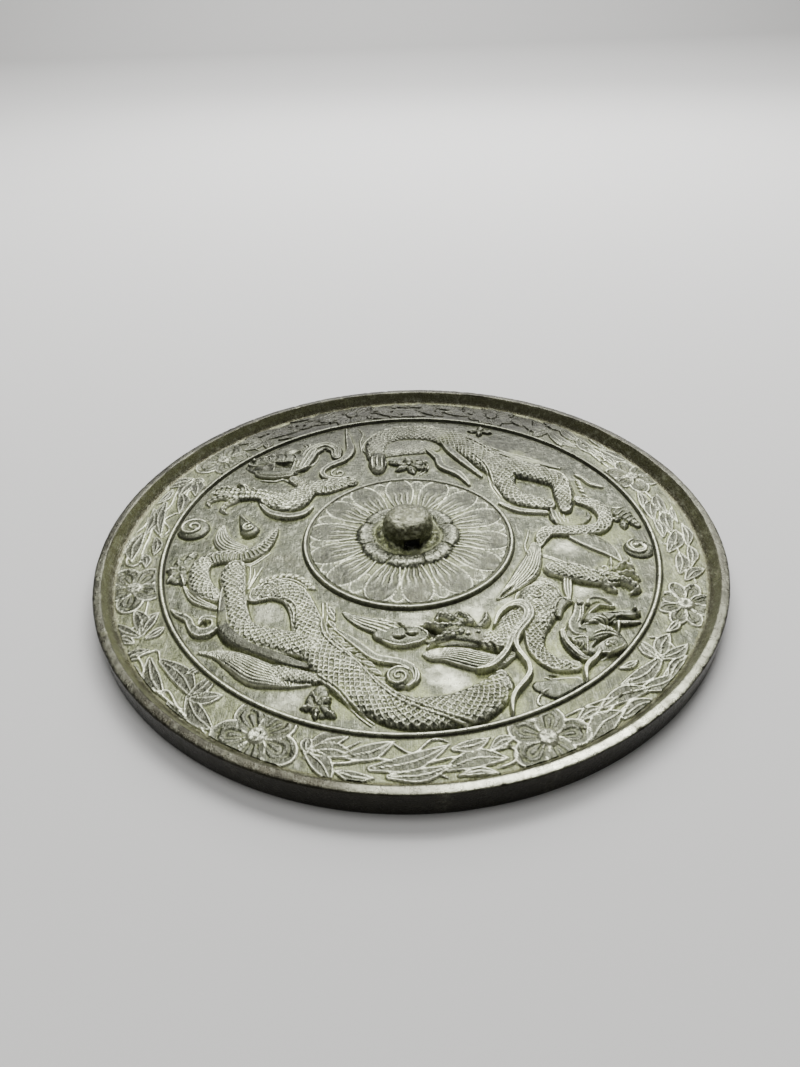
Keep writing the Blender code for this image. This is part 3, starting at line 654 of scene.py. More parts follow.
def carve_border(x, y):
    """The border's wax: stems and leaves, then the flowers over them, then the ring ridge."""
    radius = np.hypot(x, y)
    wax = Wax(x, y, BORDER_GROUND)
    for (leaves, stems), turn in GAPS:
        swing = Matrix.Rotation(math.radians(turn), 2)
        for stem in stems:
            wax.line([tuple(swing @ Vector(point)) for point in stem], 0.6, 0.75)
        for root_x, root_y, tip_x, tip_y, half in leaves:
            veined_leaf(wax, *(swing @ Vector((root_x, root_y))), *(swing @ Vector((tip_x, tip_y))), half)
    for turn, petals, reach in FLOWERS:
        petalled_flower(wax, *polar(FLOWER_RADIUS, turn), turn, petals, reach)
    wax.z += 0.05 * grain(x, y, 0.9, 21) + 0.06 * grain(x, y, 2.1, 26) + 0.06 * grain(x, y, 4.3, 22)
    wax.z += 0.06 * grain(x, y, 11, 23)

    # The far side gets painted shade, with its pale marks and its dirt faded, and the near ground holds more
    # dirt.
    far_side = np.clip((y - 50) / 36, 0, 1)
    wax.shade = np.maximum(wax.shade, 0.95 * far_side)
    wax.bright *= 1 - 0.85 * far_side
    ring_tone(wax, radius, FIELD_RING)
    ring = ring_profile(radius, FIELD_RING, FIELD_GROUND, BORDER_GROUND)
    wax.z = np.where(radius < FIELD_RING + RING_HALF, ring + 0.03 * grain(x, y, 2.3, 24), wax.z)
    on_ground = np.clip((BORDER_GROUND + 0.4 - wax.z) * 2, 0, 1)
    wax.dirt = (0.14 + 0.35 * grain(x, y, 9, 25)) * on_ground * (1 - 0.7 * far_side)
    return wax


relief_bronze = old_bronze("relief_bronze")
relief_ring("flower_border", BORDER_INSIDE, RIM_FOOT + 0.35, carve_border, relief_bronze)


# The dragon field: two long dragons that chase each other among clouds, on a sunk ground.
# The dragons were cut in the mould with scales, flutes and claws, and cast in one with the plate.
SCALE_ROW = 0.64
SCALE_REACH = 0.80
SCALE_HALF = 0.56


def scaled(wax, skin, size, depth=0.38):
    """Overlapping scales in staggered rows, each with its free lip towards the tail."""
    x, y = wax.x[skin.pick], wax.y[skin.pick]
    along = skin.run / size + 0.16 * grain(x, y, 3.2, 36)
    beside = skin.side * skin.half / size + 0.12 * grain(x, y, 3.6, 39)
    lift = np.zeros_like(along)
    lip = np.zeros_like(along)
    found = np.zeros(along.shape, bool)
    first = np.ceil((along - SCALE_REACH) / SCALE_ROW)
    for later in range(3):
        row = first + later
        back = along - row * SCALE_ROW
        off = beside - 0.5 * (row % 2)
        off = off - np.round(off)
        far = np.hypot(back / SCALE_REACH, off / SCALE_HALF)
        here = (far < 1) & ~found
        lift = np.where(here, 0.15 + 0.85 * far ** 2, lift)
        free_end = np.clip(back / SCALE_REACH * 3 - 0.4, 0, 1)
        lip = np.where(here, np.clip((far - 0.76) / 0.12, 0, 1) * free_end, lip)
        found |= here
    worn = 0.5 + 0.5 * grain(x, y, 1.5, 35)
    left = 0.85 + 0.3 * grain(x, y, 4.5, 58)
    wax.z[skin.pick] += depth * left * (lift - 0.8 + 0.35 * lip) * (1 - skin.side ** 8)
    wax.mark(skin.pick, (0.25 + 0.75 * worn) * lip * (1 - skin.side ** 8))
    # The hollow middle of each scale gets painted shade.
    dark = np.clip(0.8 - lift, 0, 1) * (1 - lip)
    wax.darken(skin.pick, 0.26 * dark * (1 - skin.side ** 8))


def barred(wax, skin, spacing, depth):
    """Cross bars on a form, like belly plates."""
    wax.z[skin.pick] += depth * np.cos(math.tau * skin.run / spacing)


def toe(wax, route, rise):
    """A knuckled toe that ends in a claw, with a worn line along its back."""
    skin = wax.form(route, rise, crown=3.4)
    wax.z[skin.pick] += 0.3 * (1 - skin.side ** 2) * np.cos(math.tau * skin.run / 2.7)
    wax.line([(x, y) for x, y, _ in route], 0.45, 0.5)
    edged(wax, skin, 0.2, 0.15, 0.25)


def knuckles(wax, spots, rise):
    """The short toes of a paw, spread out from its middle, each with a worn back and a claw."""
    middle_x = sum(x for x, _, _ in spots) / len(spots)
    middle_y = sum(y for _, y, _ in spots) / len(spots)
    for number, (x, y, radius) in enumerate(spots):
        out_x, out_y = x - middle_x, y - middle_y
        longer = 1 + 1.1 * radius / max(math.hypot(out_x, out_y), 0.5)
        tip = (middle_x + longer * out_x, middle_y + longer * out_y)
        skin = wax.form([(x - 0.6 * out_x, y - 0.6 * out_y, 0.6 * radius), (x, y, 0.85 * radius),
                         (*tip, 0.2 * radius)], rise * (0.76 + 0.08 * (number % 3)), crown=2.4)
        wax.z[skin.pick] += 0.3 * grain(wax.x[skin.pick], wax.y[skin.pick], 1.4, 38)
        wax.z[skin.pick] -= 0.4 * np.exp(-((skin.run - 1.2 * radius) / 0.45) ** 2) * (1 - skin.side ** 4)
        wax.line([(x - 0.2 * out_x, y - 0.2 * out_y), (x, y), tip], 0.4, 0.4)


def tuft(wax, route, rise, flutes, depth=0.42):
    """A lock of mane or leg hair: a tapering body with deep wavy flutes."""
    skin = wax.form(route, rise, crown=4)
    veins(wax, skin, flutes, depth)
    edged(wax, skin, 0.3, 0.25, 0.3)
    return skin


def twin_line(wax, points, apart=1.1, half=0.4, rise=0.5):
    """Two fine raised lines side by side."""
    line = smooth_route([(x, y, 1) for x, y in points], step=2.0)
    way = np.gradient(line[:, :2], axis=0)
    way /= np.linalg.norm(way, axis=1, keepdims=True)
    for side in (-0.5, 0.5):
        shifted = line[:, :2] + side * apart * np.stack([-way[:, 1], way[:, 0]], 1)
        wax.line([tuple(point) for point in shifted], half, rise, fade=False)


def fins(wax, points, length, half, lean, gap):
    """Small flame-like fins along a line, each leaning back, with worn edges."""
    line = smooth_route([(x, y, 1) for x, y in points], step=gap)
    for (x, y, _), (next_x, next_y, _) in zip(line, line[1:]):
        way = math.degrees(math.atan2(next_y - y, next_x - x))
        tip_x, tip_y = polar(length, way + lean)
        mid_x, mid_y = polar(length * 0.5, way + lean * 1.3)
        skin = wax.form([(x, y, half * 0.7), (x + mid_x, y + mid_y, half), (x + tip_x, y + tip_y, 0.2)], 0.6,
                        above=0.5, crown=5)
        edged(wax, skin, 0.2, 0.2, 0.28)
        wax.z[skin.pick] -= 0.25 * (1 - skin.side ** 2)


def near_body(wax):
    """The near dragon's coils, from the parts that lie lowest to those that lie over them."""
    tuft(wax, [(-66, -4.5, 3), (-72, -1.5, 4), (-75.5, 4, 3.2), (-76, 12, 0.8)], 1.6, 6)
    tuft(wax, [(-84.5, -25.5, 0.6), (-79, -33, 1.7), (-70.5, -38, 0.9)], 1.2, 3)
    tail = wax.form([
        (-71, -32, 3), (-77, -27.5, 4.4), (-80, -20, 4.2), (-79.5, -12.5, 4), (-73, -9, 3.8), (-65, -9, 3.8),
        (-58.5, -5, 3.2), (-55, 2, 2), (-53.5, 8, 0.8)], 2.3)
    scaled(wax, tail.where(tail.run < 26), 2.1)
    rest = tail.where(tail.run >= 26)
    barred(wax, rest.where(rest.side < 0.1), 1.6, 0.3)
    scaled(wax, rest.where(rest.side >= 0.1), 2.1)
    edged(wax, tail, 0.4, 0.3)
    twin_line(wax, [(-70.5, -13.9), (-66, -13.4), (-61.5, -13.6), (-58, -10.5), (-55, -6.5)], 1)
    for points in ([(-61.4, -14.4), (-60.8, -18), (-60.5, -22.8), (-61.2, -28.2)],
                   [(-59.6, -15.6), (-59, -19.8), (-59.9, -25), (-60.6, -29)],
                   [(-56.6, -15), (-57.6, -19.2), (-59, -24), (-60, -28)]):
        wax.line(points, 0.45, 0.6)
    hip = wax.form([
        (-34, -60, 5), (-43, -57, 5.6), (-52, -54, 4.8), (-59, -49.5, 4.6), (-62, -42, 4.3), (-64.3, -33, 4.4),
        (-65.8, -26, 4.9), (-67, -20.5, 5.2), (-66.5, -16, 4)], 3)
    scaled(wax, hip, 2.1, 0.46)
    edged(wax, hip, 0.5, 0.3)
    flank = wax.form([
        (-33.5, -68.5, 0.9), (-40, -66.6, 2.2), (-47, -63, 2.4), (-54.5, -59, 2.2), (-62, -53.8, 3.1),
        (-66.5, -47, 2.4), (-67.6, -40, 2), (-68.6, -33, 1.9), (-70, -27, 1.2)], 2.7)
    # Painted shade on the strip along the body's outer side.
    wax.darken(flank.pick, 0.5 * (1 - flank.side ** 4))
    wax.line([(-69.6, -27), (-69.4, -34), (-68.6, -41)], 0.4, 0.3)
    trunk = wax.form([
        (27.5, -74.5, 2.5), (25.5, -80, 5.4), (18, -86, 7), (8, -88.3, 6.5), (-5, -87.5, 6.5), (-17, -79, 7.2),
        (-26, -68.5, 7.6), (-33, -58, 7.6), (-36.5, -49, 6), (-39, -40.5, 5.2), (-43, -33, 5.2),
        (-50, -29.5, 5.2), (-57, -32.5, 3.6)], 2.7)
    scaled(wax, trunk, 2.15, 0.5)
    edged(wax, trunk.where(trunk.run > 88), 0.5, 0.35)
    fins(wax, [
        (-29.3, -40), (-28.6, -51), (-25, -58), (-19, -63.5), (-14.5, -70), (-10, -77)], 4.4, 1, 24, gap=3.4)
    twin_line(wax, [
        (-31.3, -37), (-30.8, -43), (-30.8, -49), (-30, -53.8), (-28.2, -57.2), (-25.2, -60.6), (-21.6, -63.6),
        (-18.6, -66), (-16.2, -69.6), (-13.8, -73.2), (-11, -77.4), (-7.6, -81), (-4.4, -83.8), (-0.8, -86),
        (3.2, -88), (7.2, -90), (10.8, -91.8), (16, -93.6)], 1.5, 0.5, 0.55)
    twin_line(wax, [
        (-31.6, -73), (-28, -76), (-24.4, -79.6), (-20.8, -84.4), (-17.2, -88.6), (-13.6, -92)], 1.1)
    wax.lines(([(-58.6, -33.6), (-58.2, -29), (-56.6, -25.8), (-53.6, -23.6), (-50, -22.7), (-45, -23.2),
                (-41, -25.8), (-37.6, -29.6)], 0.5, 0.6),
              ([(-56, -28.8), (-53.6, -26.4), (-50, -25.2), (-45.8, -25.5), (-41.6, -27.6), (-38.2, -31.5)],
               0.45, 0.5),
              ([(-48.2, -34.8), (-45.2, -35.4), (-42.2, -38.4), (-40.7, -42), (-40.4, -47)], 0.45, 0.55),
              ([(-46.8, -36), (-43.8, -38.8), (-42, -43), (-41.8, -47.5)], 0.35, 0.45))
    fins(wax, [(-56, -24.8), (-49, -22), (-42, -23.5), (-36.5, -30)], 2.6, 0.8, 35, gap=2.4)


def near_hind_leg(wax):
    """Its hind leg on the left of the coils, with a long fluted tuft and a paw by the ring."""
    wax.form([(-30, -78, 2.4), (-31, -82.5, 3.8), (-29, -86.5, 2.6)], 1.4)
    knuckles(wax, ((-33.9, -84.6, 1.9), (-32.2, -80.2, 1.9), (-28.9, -82.8, 2.4), (-31, -87.3, 1.7),
                   (-27, -87.2, 2.1)), 2.3)
    wax.line([(-32.4, -81.2), (-31.4, -84)], 0.8, -1)
    thigh = wax.form([(-30.5, -73.3, 2), (-38, -72.2, 3.2), (-46, -70.2, 3.8)], 2.2)
    scaled(wax, thigh, 1.6, 0.35)
    tuft(wax, [
        (-33.5, -75.6, 0.4), (-40, -75, 1.6), (-46, -72, 4.2), (-52, -69.6, 5.4), (-59, -64.6, 4.2),
        (-66, -61, 1.8), (-72.5, -59.5, 0.5)], 2.5, 10, 0.45)
    wax.form([(-84, -12, 2.5), (-88.5, -15, 4), (-88, -21, 3)], 1.3)
    knuckles(wax, ((-85.3, -7.8, 2.7), (-89.5, -11, 2.3), (-91.6, -15.6, 2), (-90.4, -20.3, 2.4),
                   (-86, -21.2, 3), (-87.2, -15.5, 2.2)), 2.1)


def near_far_arm(wax):
    """The foreleg that reaches away to the right, its claws on the dirt below the far dragon's tail."""
    tuft(wax, [
        (49.5, -9, 2.2), (47.5, -16, 3.4), (44, -24, 4.4), (38.5, -31, 3), (31, -38.3, 0.5)], 1.8, 8, 0.45)
    wax.lines(([(48.8, 2.5), (47.2, -3), (45.6, -8), (45.6, -13), (45.9, -17)], 0.5, 0.6),
              ([(37.5, -32.3), (34.6, -35.4), (31.6, -38)], 0.8, -0.8))
    tuft(wax, [(58.3, -27.5, 1.5), (57, -34, 1.8), (56.2, -41, 0.6)], 1.5, 3)
    far_arm = wax.form([(53.5, -23.8, 3.6), (60, -26, 4.6), (67, -29.5, 3.8), (74, -30.5, 3.6)], 3)
    scaled(wax, far_arm, 1.9, 0.45)
    edged(wax, far_arm, 0.4, 0.2)
    wax.boss(72, -25.5, 2.9, 2.2, crown=4)
    wax.curl(72, -25.5, 2.5, 0.9, 200, 0.6, 0.45)
    twin_line(wax, [
        (51, -14.6), (54.2, -16.2), (57.4, -18.6), (60.6, -21), (63.8, -23.4), (67, -26.2), (71, -28.6),
        (74, -29.6)], 1, 0.42, 0.6)
    for route, rise in (([(71, -30, 2), (71.5, -34, 2.1), (73.8, -37, 0.8)], 2.9),
                        ([(75, -30.5, 1.6), (79.3, -33, 2), (81.7, -36.5, 1.6), (79, -38.3, 0.6)], 2.9),
                        ([(77, -28.5, 1.6), (82, -28, 1.4), (84, -31, 0.6)], 2.5),
                        ([(76.5, -26, 1.6), (80.5, -22.5, 1.5), (82.8, -24.8, 1.2), (83.6, -19, 0.4)], 2.4),
                        ([(74.5, -26.5, 1.4), (75.7, -22, 1.2), (76.5, -18.4, 0.4)], 2.2)):
        toe(wax, route, rise)
    wax.line([(73.5, -33), (76, -32.6)], 0.8, -1.2)


def near_shoulder(wax):
    """The shoulder boss, and the neck that hangs from it in a C of scales."""
    shoulder = wax.form([
        (50, -34.5, 4), (46.5, -41, 7.5), (44, -49, 5.6), (41.3, -57, 3.7), (41, -64.5, 3.2),
        (45.5, -70.6, 3.2), (52, -71.8, 2.4)], 2.7)
    wax.boss(46.3, -40, 8.3, 2.9, crown=4)
    scaled(wax, wax.along([(47.5, -32.5, 6.5), (46.5, -41, 8.2), (44.2, -49, 5.8)]), 1.9, 0.35)
    scaled(wax, shoulder.where(shoulder.run > 16), 1.9, 0.5)
    edged(wax, shoulder.where((shoulder.run > 22) & (shoulder.side < 0)), 0.45, 0.45, 0.4)
    wax.curl(45.2, -38.6, 2.4, 1.2, 200, 0.5, 0.45)
    wax.lines(([(44.3, -38), (46.6, -36.6)], 0.6, -0.9),
              ([(36.6, -41.5), (38.2, -36.2), (41, -33.8), (45, -32.6), (49, -32.6), (52.2, -34.6),
                (53.8, -37.4), (54.8, -40.4)], 0.55, 0.5))
    wax.form([(51, -48.5, 1.2), (51.8, -45, 1.9), (54, -42, 2.2), (56.6, -41.4, 1)], 2.2)
    wax.lines(([(50.6, -44.5), (52.2, -41.6), (54.6, -40.7), (56.6, -42.2)], 0.42, 0.5),
              ([(49, -48.9), (51, -49.8)], 0.6, -0.9))
    wax.form([(39, -79.5, 2.2), (45, -81, 4.2), (51, -79.5, 3)], 1.2, crown=5)
    wax.lines(([(41, -75.4), (44.2, -77.4), (47.4, -77), (51.4, -76.6), (52.8, -78.4)], 0.45, 0.6),
              ([(43.2, -75.2), (45.4, -75.6)], 1, -1),
              ([(41.5, -81), (38.5, -83), (37.5, -86), (40, -87.3), (43.5, -85.7)], 0.5, 0.5))


def near_fore_leg(wax):
    """The foreleg in the middle, its hand closed over a wavy tuft."""
    wax.form([(3.5, -57.5, 0.8), (8, -59, 2), (14, -58.5, 3.5), (22, -59, 3.5)], 1.6)
    arm = wax.form([(38, -46.5, 3), (34.5, -52, 5), (29.5, -59.5, 5), (22, -57.5, 4.2), (14, -55.5, 4.2)], 2.9)
    scaled(wax, arm.where(arm.run < 21), 1.7, 0.4)
    for points, rise in (([(16, -56, 2.4), (11, -57.2, 2.4), (6.3, -59.6, 1.1), (4.6, -61.5, 0.5)], 3.1),
                         ([(15.5, -52.5, 2.2), (10, -52.3, 2), (5.5, -50.8, 1.3), (2.6, -51.2, 0.5)], 2.8),
                         ([(16.5, -50.5, 2), (13, -48, 2.1), (9.6, -46.6, 1.6), (8.3, -49.5, 0.5)], 2.7),
                         ([(20, -50.5, 2), (18.2, -47.5, 1.9), (16, -46.4, 1.4), (15.2, -49, 0.5)], 2.7),
                         ([(23, -53, 1.8), (25.5, -49.5, 1.7), (26, -45.5, 0.6)], 2.2)):
        toe(wax, points, rise)
    for x, y, radius in ((18.4, -57.2, 1.6), (13.4, -57.6, 1.5), (11.4, -52.6, 1.2), (22, -56.6, 1.3)):
        wax.boss(x, y, radius, 3.4, crown=2)
        wax.mark(np.flatnonzero(np.hypot(wax.x - x, wax.y - y - 0.4) < radius * 0.6), 0.8)
    wax.lines(([(3.4, -52.4), (5.6, -53), (8, -55), (9, -56.4)], 1.5, -1.5),
              ([(25.5, -61), (27.6, -65), (29, -66.5)], 0.8, -0.9))
    fore = tuft(wax, [
        (32, -66, 1.6), (27, -68.8, 3), (22, -68.6, 4.2), (16, -66.4, 4.2), (10.5, -64.8, 3.1), (6, -64.8, 2.4),
        (3.4, -64.2, 0.8)], 2.4, 9, 0.5)
    wax.mark(fore.pick[(fore.run > 25) & (fore.side < 0.3)], 0.55)


def near_ribbons(wax):
    """The two fleshy ribbons that loop over the foreleg and trail away to the ring."""
    inner = wax.form([
        (34, -44.8, 0.5), (36.4, -43.8, 0.9), (38.8, -44.8, 1.1), (39.8, -47.2, 1.1), (38.6, -51, 1.1),
        (35.4, -55.2, 1.1), (33, -59.4, 1.1), (31.5, -63.2, 1.1), (29.4, -66.8, 1.1), (26.4, -70.2, 1.1),
        (23.6, -72.1, 0.9), (20, -72.8, 0.5)], 1.3, above=1.7)
    edged(wax, inner, 0.3, 0.3, 0.3)
    outer = wax.form([
        (28, -53, 0.5), (30, -48.2, 0.9), (33, -44.7, 1.1), (36, -42.7, 1.1), (39, -42.4, 1.1),
        (41.2, -44.6, 1.1), (41.4, -48.6, 1.1), (39.6, -52, 1), (36.8, -55.6, 1), (34.9, -58.8, 0.95),
        (34.1, -62, 0.95), (34.5, -65.4, 0.95), (36, -69, 0.95), (36.9, -72.2, 0.95), (36.4, -75.4, 0.95),
        (34.2, -78.6, 0.9), (31.6, -81.6, 0.85), (29.9, -84.6, 0.8), (29.2, -87.6, 0.7), (29, -91, 0.4)], 1.5,
        above=1.4)
    edged(wax, outer, 0.25, 0.35, 0.3)


def near_head(wax):
    """The near dragon's head, seen from above, with its mouth open to the right."""
    wax.form([(54, -58, 3), (60, -58, 4.8), (66, -60, 4.4), (69.5, -64, 2)], 2.4)
    wax.form([(58, -65, 2.6), (63, -64.5, 3.8), (68, -65.3, 1.8)], 2.3)
    wax.form([(62, -52, 3.4), (67, -51, 2.8), (72, -49.9, 2.1), (77.6, -49, 1.5)], 3)
    mane = wax.form([(60.2, -48.5, 1.2), (62.5, -45, 2.4), (66, -42.6, 2.4), (70.5, -44.4, 1.2)], 2.5)
    wax.z[mane.pick] -= 0.9 * (1 - mane.side ** 2)
    edged(wax, mane, 0.35, 0.5, 0.35)
    wax.lines(([(60.5, -48), (62.8, -45.6), (65.6, -43.6), (68, -44)], 0.9, -0.5),
              ([(60.6, -42.6), (64, -41), (67, -41.2), (69.6, -42.8), (70.9, -44.8)], 0.45, 0.6))
    wax.boss(61.8, -44.2, 1.1, 3)
    horn = wax.form([
        (59.2, -43.6, 1.9), (57.6, -49, 2.1), (55.1, -54, 2.4), (55.6, -57.3, 2.2), (58.6, -57.4, 1.3)], 3.2)
    wax.z[horn.pick] -= 0.7 * (1 - horn.side ** 2)
    edged(wax, horn, 0.35, 0.45, 0.34)
    wax.line([(59, -45.5), (58.2, -49), (57, -52.2), (55.8, -54)], 0.45, 0.5)
    wax.boss(59, -43.9, 1.5, 3.1, crown=6)
    wax.line([(53.4, -52.2), (51.4, -55), (50.6, -58)], 0.42, 0.5)
    for shift in (0, 1.4, 2.8):
        wax.line([
            (61.4 - shift * 1.3, -52.6 - shift * 0.7), (64.4 - shift * 0.9, -52 - shift * 0.7),
            (66.6 - shift * 0.7, -53.8 - shift * 0.7), (67.2 - shift * 0.8, -58.4 - shift * 0.2)], 0.45, 0.7)
    wax.lines(([(65, -49), (70, -49.4), (73.8, -48.2)], 0.4, -0.7),
              ([(65, -49), (67, -53), (70.2, -50.6)], 0.4, -0.7),
              ([(66, -47.8), (70, -47.4), (74, -46.8), (77.5, -47)], 0.45, 0.6))
    wax.boss(77.5, -47.8, 1.2, 3.4)
    wax.boss(78.3, -49.4, 1.1, 3.2)
    wax.form([(69.5, -53.4, 1.2), (74, -53.4, 1.1), (78, -52.9, 0.6)], 1.8)
    wax.line([(69.4, -51.8), (73, -51.3), (78.2, -51.4)], 0.9, -1.2)
    wax.form([(70.2, -54.3, 0.9), (69.4, -57.6, 0.4)], 3)
    for shift in (0, 1.4):
        wax.line([
            (60.2, -60.6 + shift), (63.4, -59.4 + shift), (66.6, -59.4 + shift), (68.8, -61 + shift)], 0.45,
            0.6)
    wax.lines(([(59, -65), (61, -63), (63.4, -61.4), (66.6, -60.2)], 0.7, -1.3),
              ([(61, -67.4), (65, -67.4), (68.2, -65.8), (70.2, -63.4)], 0.45, 0.6))
    wax.boss(64.4, -64.4, 1, 2.9)
    wax.curl(64.4, -64.4, 1.7, 0.8, 20, 0.6, 0.4)
    wax.form([(53.6, -60.8, 1.2), (56.2, -61.6, 2.4), (56.9, -66.3, 0.5)], 2.3)
    wax.curl(55.4, -63.2, 1.5, 1.2, 120, 0.6, 0.36)
    wax.line([
        (53.2, -60.4), (57.9, -60.6), (57.4, -64), (56.6, -66.8), (54.4, -64), (53.2, -60.4)], 0.36, 0.55,
        fade=False)
    cheek = wax.form([
        (50.7, -56, 0.9), (50.9, -61, 1.4), (52.6, -65.4, 1.6), (55, -68.6, 1.4), (58.4, -69.4, 0.6)], 2.1)
    veins(wax, cheek, 3, 0.5)
    wax.line([(49.6, -58.5), (50.2, -62.3), (52.2, -67), (54.6, -70)], 0.6, -0.6)
    whisker = wax.form([
        (61.6, -64.2, 0.6), (60.8, -66.6, 0.8), (58.8, -69.4, 0.85), (56.6, -71.2, 0.85), (55, -73.4, 0.8),
        (54.4, -75.8, 0.7), (54.2, -78.6, 0.4)], 1.5, above=0.9)
    edged(wax, whisker, 0.2, 0.35, 0.3)
    for shift in (0, 1.5, 3):
        wax.line([
            (60.5 + shift, -69.4 + shift * 0.5), (65 + shift, -67.6 + shift * 0.7),
            (69 + shift * 0.8, -65.2 + shift * 0.7)], 0.4, 0.4)


def far_body(wax):
    """The far dragon's coils, from the tail up to the arch of its back."""
    flame = wax.form([(66, -4, 2.6), (72.5, -8, 4.4), (77.5, -14, 3), (80.5, -20.5, 0.5)], 1.7)
    edged(wax, flame, 0.4, 0.3)
    wax.form([(60.5, 15, 0.9), (60.8, 8, 2.4), (66.5, 4, 3), (73.5, 8, 1.6), (75, 12, 0.6)], 1.6)
    for shift in (0, 1.6, 3.2, 4.8):
        wax.line([(60 + shift, 15.5 - shift * 0.4), (59.8 + shift, 9), (60.5 + shift, 4.4)], 0.4, 0.45)
    tail = wax.form([
        (73, 20, 2.6), (79, 15.5, 3.5), (80.8, 7.5, 3.2), (76.5, 0.4, 3.2), (66, -0.8, 3.1), (57, -0.2, 3.1),
        (53, -4, 2.8), (51.5, -9, 1)], 2.4)
    scaled(wax, tail, 2)
    edged(wax, tail, 0.45, 0.32)
    hip = wax.form([
        (40, 53, 6), (50, 46.5, 6.4), (60, 41, 6), (67, 34, 4.6), (67, 23, 4.2), (66, 14, 2.6)], 3.1)
    scaled(wax, hip, 2.2, 0.48)
    belly_side = wax.form([(-11, 66, 5), (-2, 69.5, 7), (8, 70, 6.5), (15, 68, 3)], 1.5, crown=3)
    scaled(wax, belly_side, 1.8, 0.2)
    trunk = wax.form([
        (-13, 62, 4.5), (-12, 74, 6), (-4, 81, 7), (8, 81.5, 7), (20, 77.5, 7.6), (30, 68, 8), (37, 57, 7.8),
        (43, 45, 6.4), (43.8, 34, 4.8), (48, 24, 4.8), (59, 18.5, 4)], 2.7)
    scaled(wax, trunk, 2.4, 0.46)
    for points in ([(-17.6, 65), (-19.6, 71), (-18, 77.5), (-13.8, 83.2), (-8, 87), (0, 89), (8, 88),
                    (16, 85.6)],
                   [(31, 60), (36, 51), (38, 43), (38.6, 34), (41, 25.5)],
                   [(30, 74), (37, 66), (41, 59.5), (47.5, 56.5), (50.5, 53), (57, 50.6), (64.5, 46.6),
                    (70, 42.5), (71.8, 34), (71.6, 24), (70, 17)]):
        wax.lines((points, 0.55, 0.55),
                  ([(x * 0.975, y * 0.975) for x, y in points], 0.45, 0.35))
    belly = wax.form([(39.5, 20.5, 0.8), (46.5, 15, 1.4), (57.5, 12.6, 1.1)], 1.5)
    edged(wax, belly, 0.3, 0.25)
    mane = wax.form([(39, 64, 0.7), (46.5, 60, 1.5), (53, 55, 1.7), (62, 50.6, 1.3), (70, 46.5, 0.6)], 1.3)
    veins(wax, mane, 3, 0.3)
    wax.line([(34, 74.5), (41, 67.5), (48, 62), (56, 57.5), (63, 52), (69, 48.5)], 0.45, 0.5)
    fins(wax, [(75, 36), (75, 28), (76, 22)], 2.6, 0.7, 30, gap=2.6)
    squiggle = wax.form([(75.5, 40.5, 0.6), (78.5, 36.5, 1.1), (80.5, 32.5, 1.1), (85, 30, 0.6)], 1.3)
    edged(wax, squiggle, 0.3, 0.2)


def far_legs(wax):
    """The far dragon's limbs and the long ribbons that fall beside them."""
    for route, rise in (
            ([(11, 66, 1), (15.5, 58.5, 1.9), (17, 51, 1.9), (24, 44, 1.8), (28, 35.5, 0.7)], 1.9),
            ([(13, 82, 0.8), (18.5, 74, 1.6), (21.5, 65, 1.9), (27, 54.5, 1.8), (34, 42, 0.8)], 1.9)):
        skin = wax.form(route, rise)
        edged(wax, skin, 0.4, 0.3)
    knuckles(wax, ((34, 82.5, 2), (38, 84, 2.2), (37, 79.4, 1.8), (41.5, 80.6, 1.7)), 1.9)
    knuckles(wax, ((86, 12, 2.2), (90, 9, 2.6), (91.5, 3.6, 2.2), (87.2, 2.2, 2.1), (85.4, 6.6, 2)), 2)
    wax.line([(83.5, 16), (87, 14.6), (90.5, 15.2)], 0.5, 0.6)
    leg = wax.form([(84, 12, 2.4), (88.5, 8.5, 3.2), (92.5, 2, 1.6)], 2.1)
    barred(wax, leg, 2, 0.2)
    shoulder = wax.form([(-24, 41, 3), (-34, 39.5, 4.4), (-43, 36, 5.4), (-50, 27, 7.2), (-59, 28.5, 4.8)], 2.7)
    scaled(wax, shoulder, 2.1, 0.42)
    arm = wax.form([(-56, 29.5, 4.6), (-65, 33.8, 4), (-74, 34.2, 4.4), (-82, 36.5, 2)], 2.2)
    barred(wax, arm, 2.4, 0.25)
    veins(wax, arm, 3, 0.25)
    for route in ([(-74, 36, 2.2), (-79, 39.5, 1.8), (-83.5, 38, 1.3), (-85, 34.5, 0.5)],
                  [(-76, 33, 2.2), (-81.5, 32.5, 1.8), (-85.5, 29.5, 1.3), (-84.5, 26.5, 0.5)],
                  [(-74, 30.5, 2.2), (-77.5, 27, 1.7), (-78.5, 23, 1.2), (-76, 21, 0.5)],
                  [(-70, 35, 2), (-71.5, 40, 1.6), (-75, 42.5, 0.6)]):
        toe(wax, route, 1.7)
    knuckles(wax, ((-75.5, 35.8, 2.2), (-76.6, 31.6, 2), (-72.5, 33.6, 2)), 2.3)
    wax.lines(([(-80, 41), (-75, 41.6), (-71, 40.6), (-67.5, 37.6), (-63.5, 34)], 0.45, 0.6),
              ([(-76, 39), (-71.5, 38.4), (-68, 35.4)], 0.45, 0.6))
    chest = wax.form([
        (-62.5, 26, 0.7), (-57.5, 19.6, 1.6), (-50, 16.4, 1.9), (-43.5, 18, 1.6), (-40, 23, 0.6)], 2.1)
    edged(wax, chest, 0.4, 0.2)


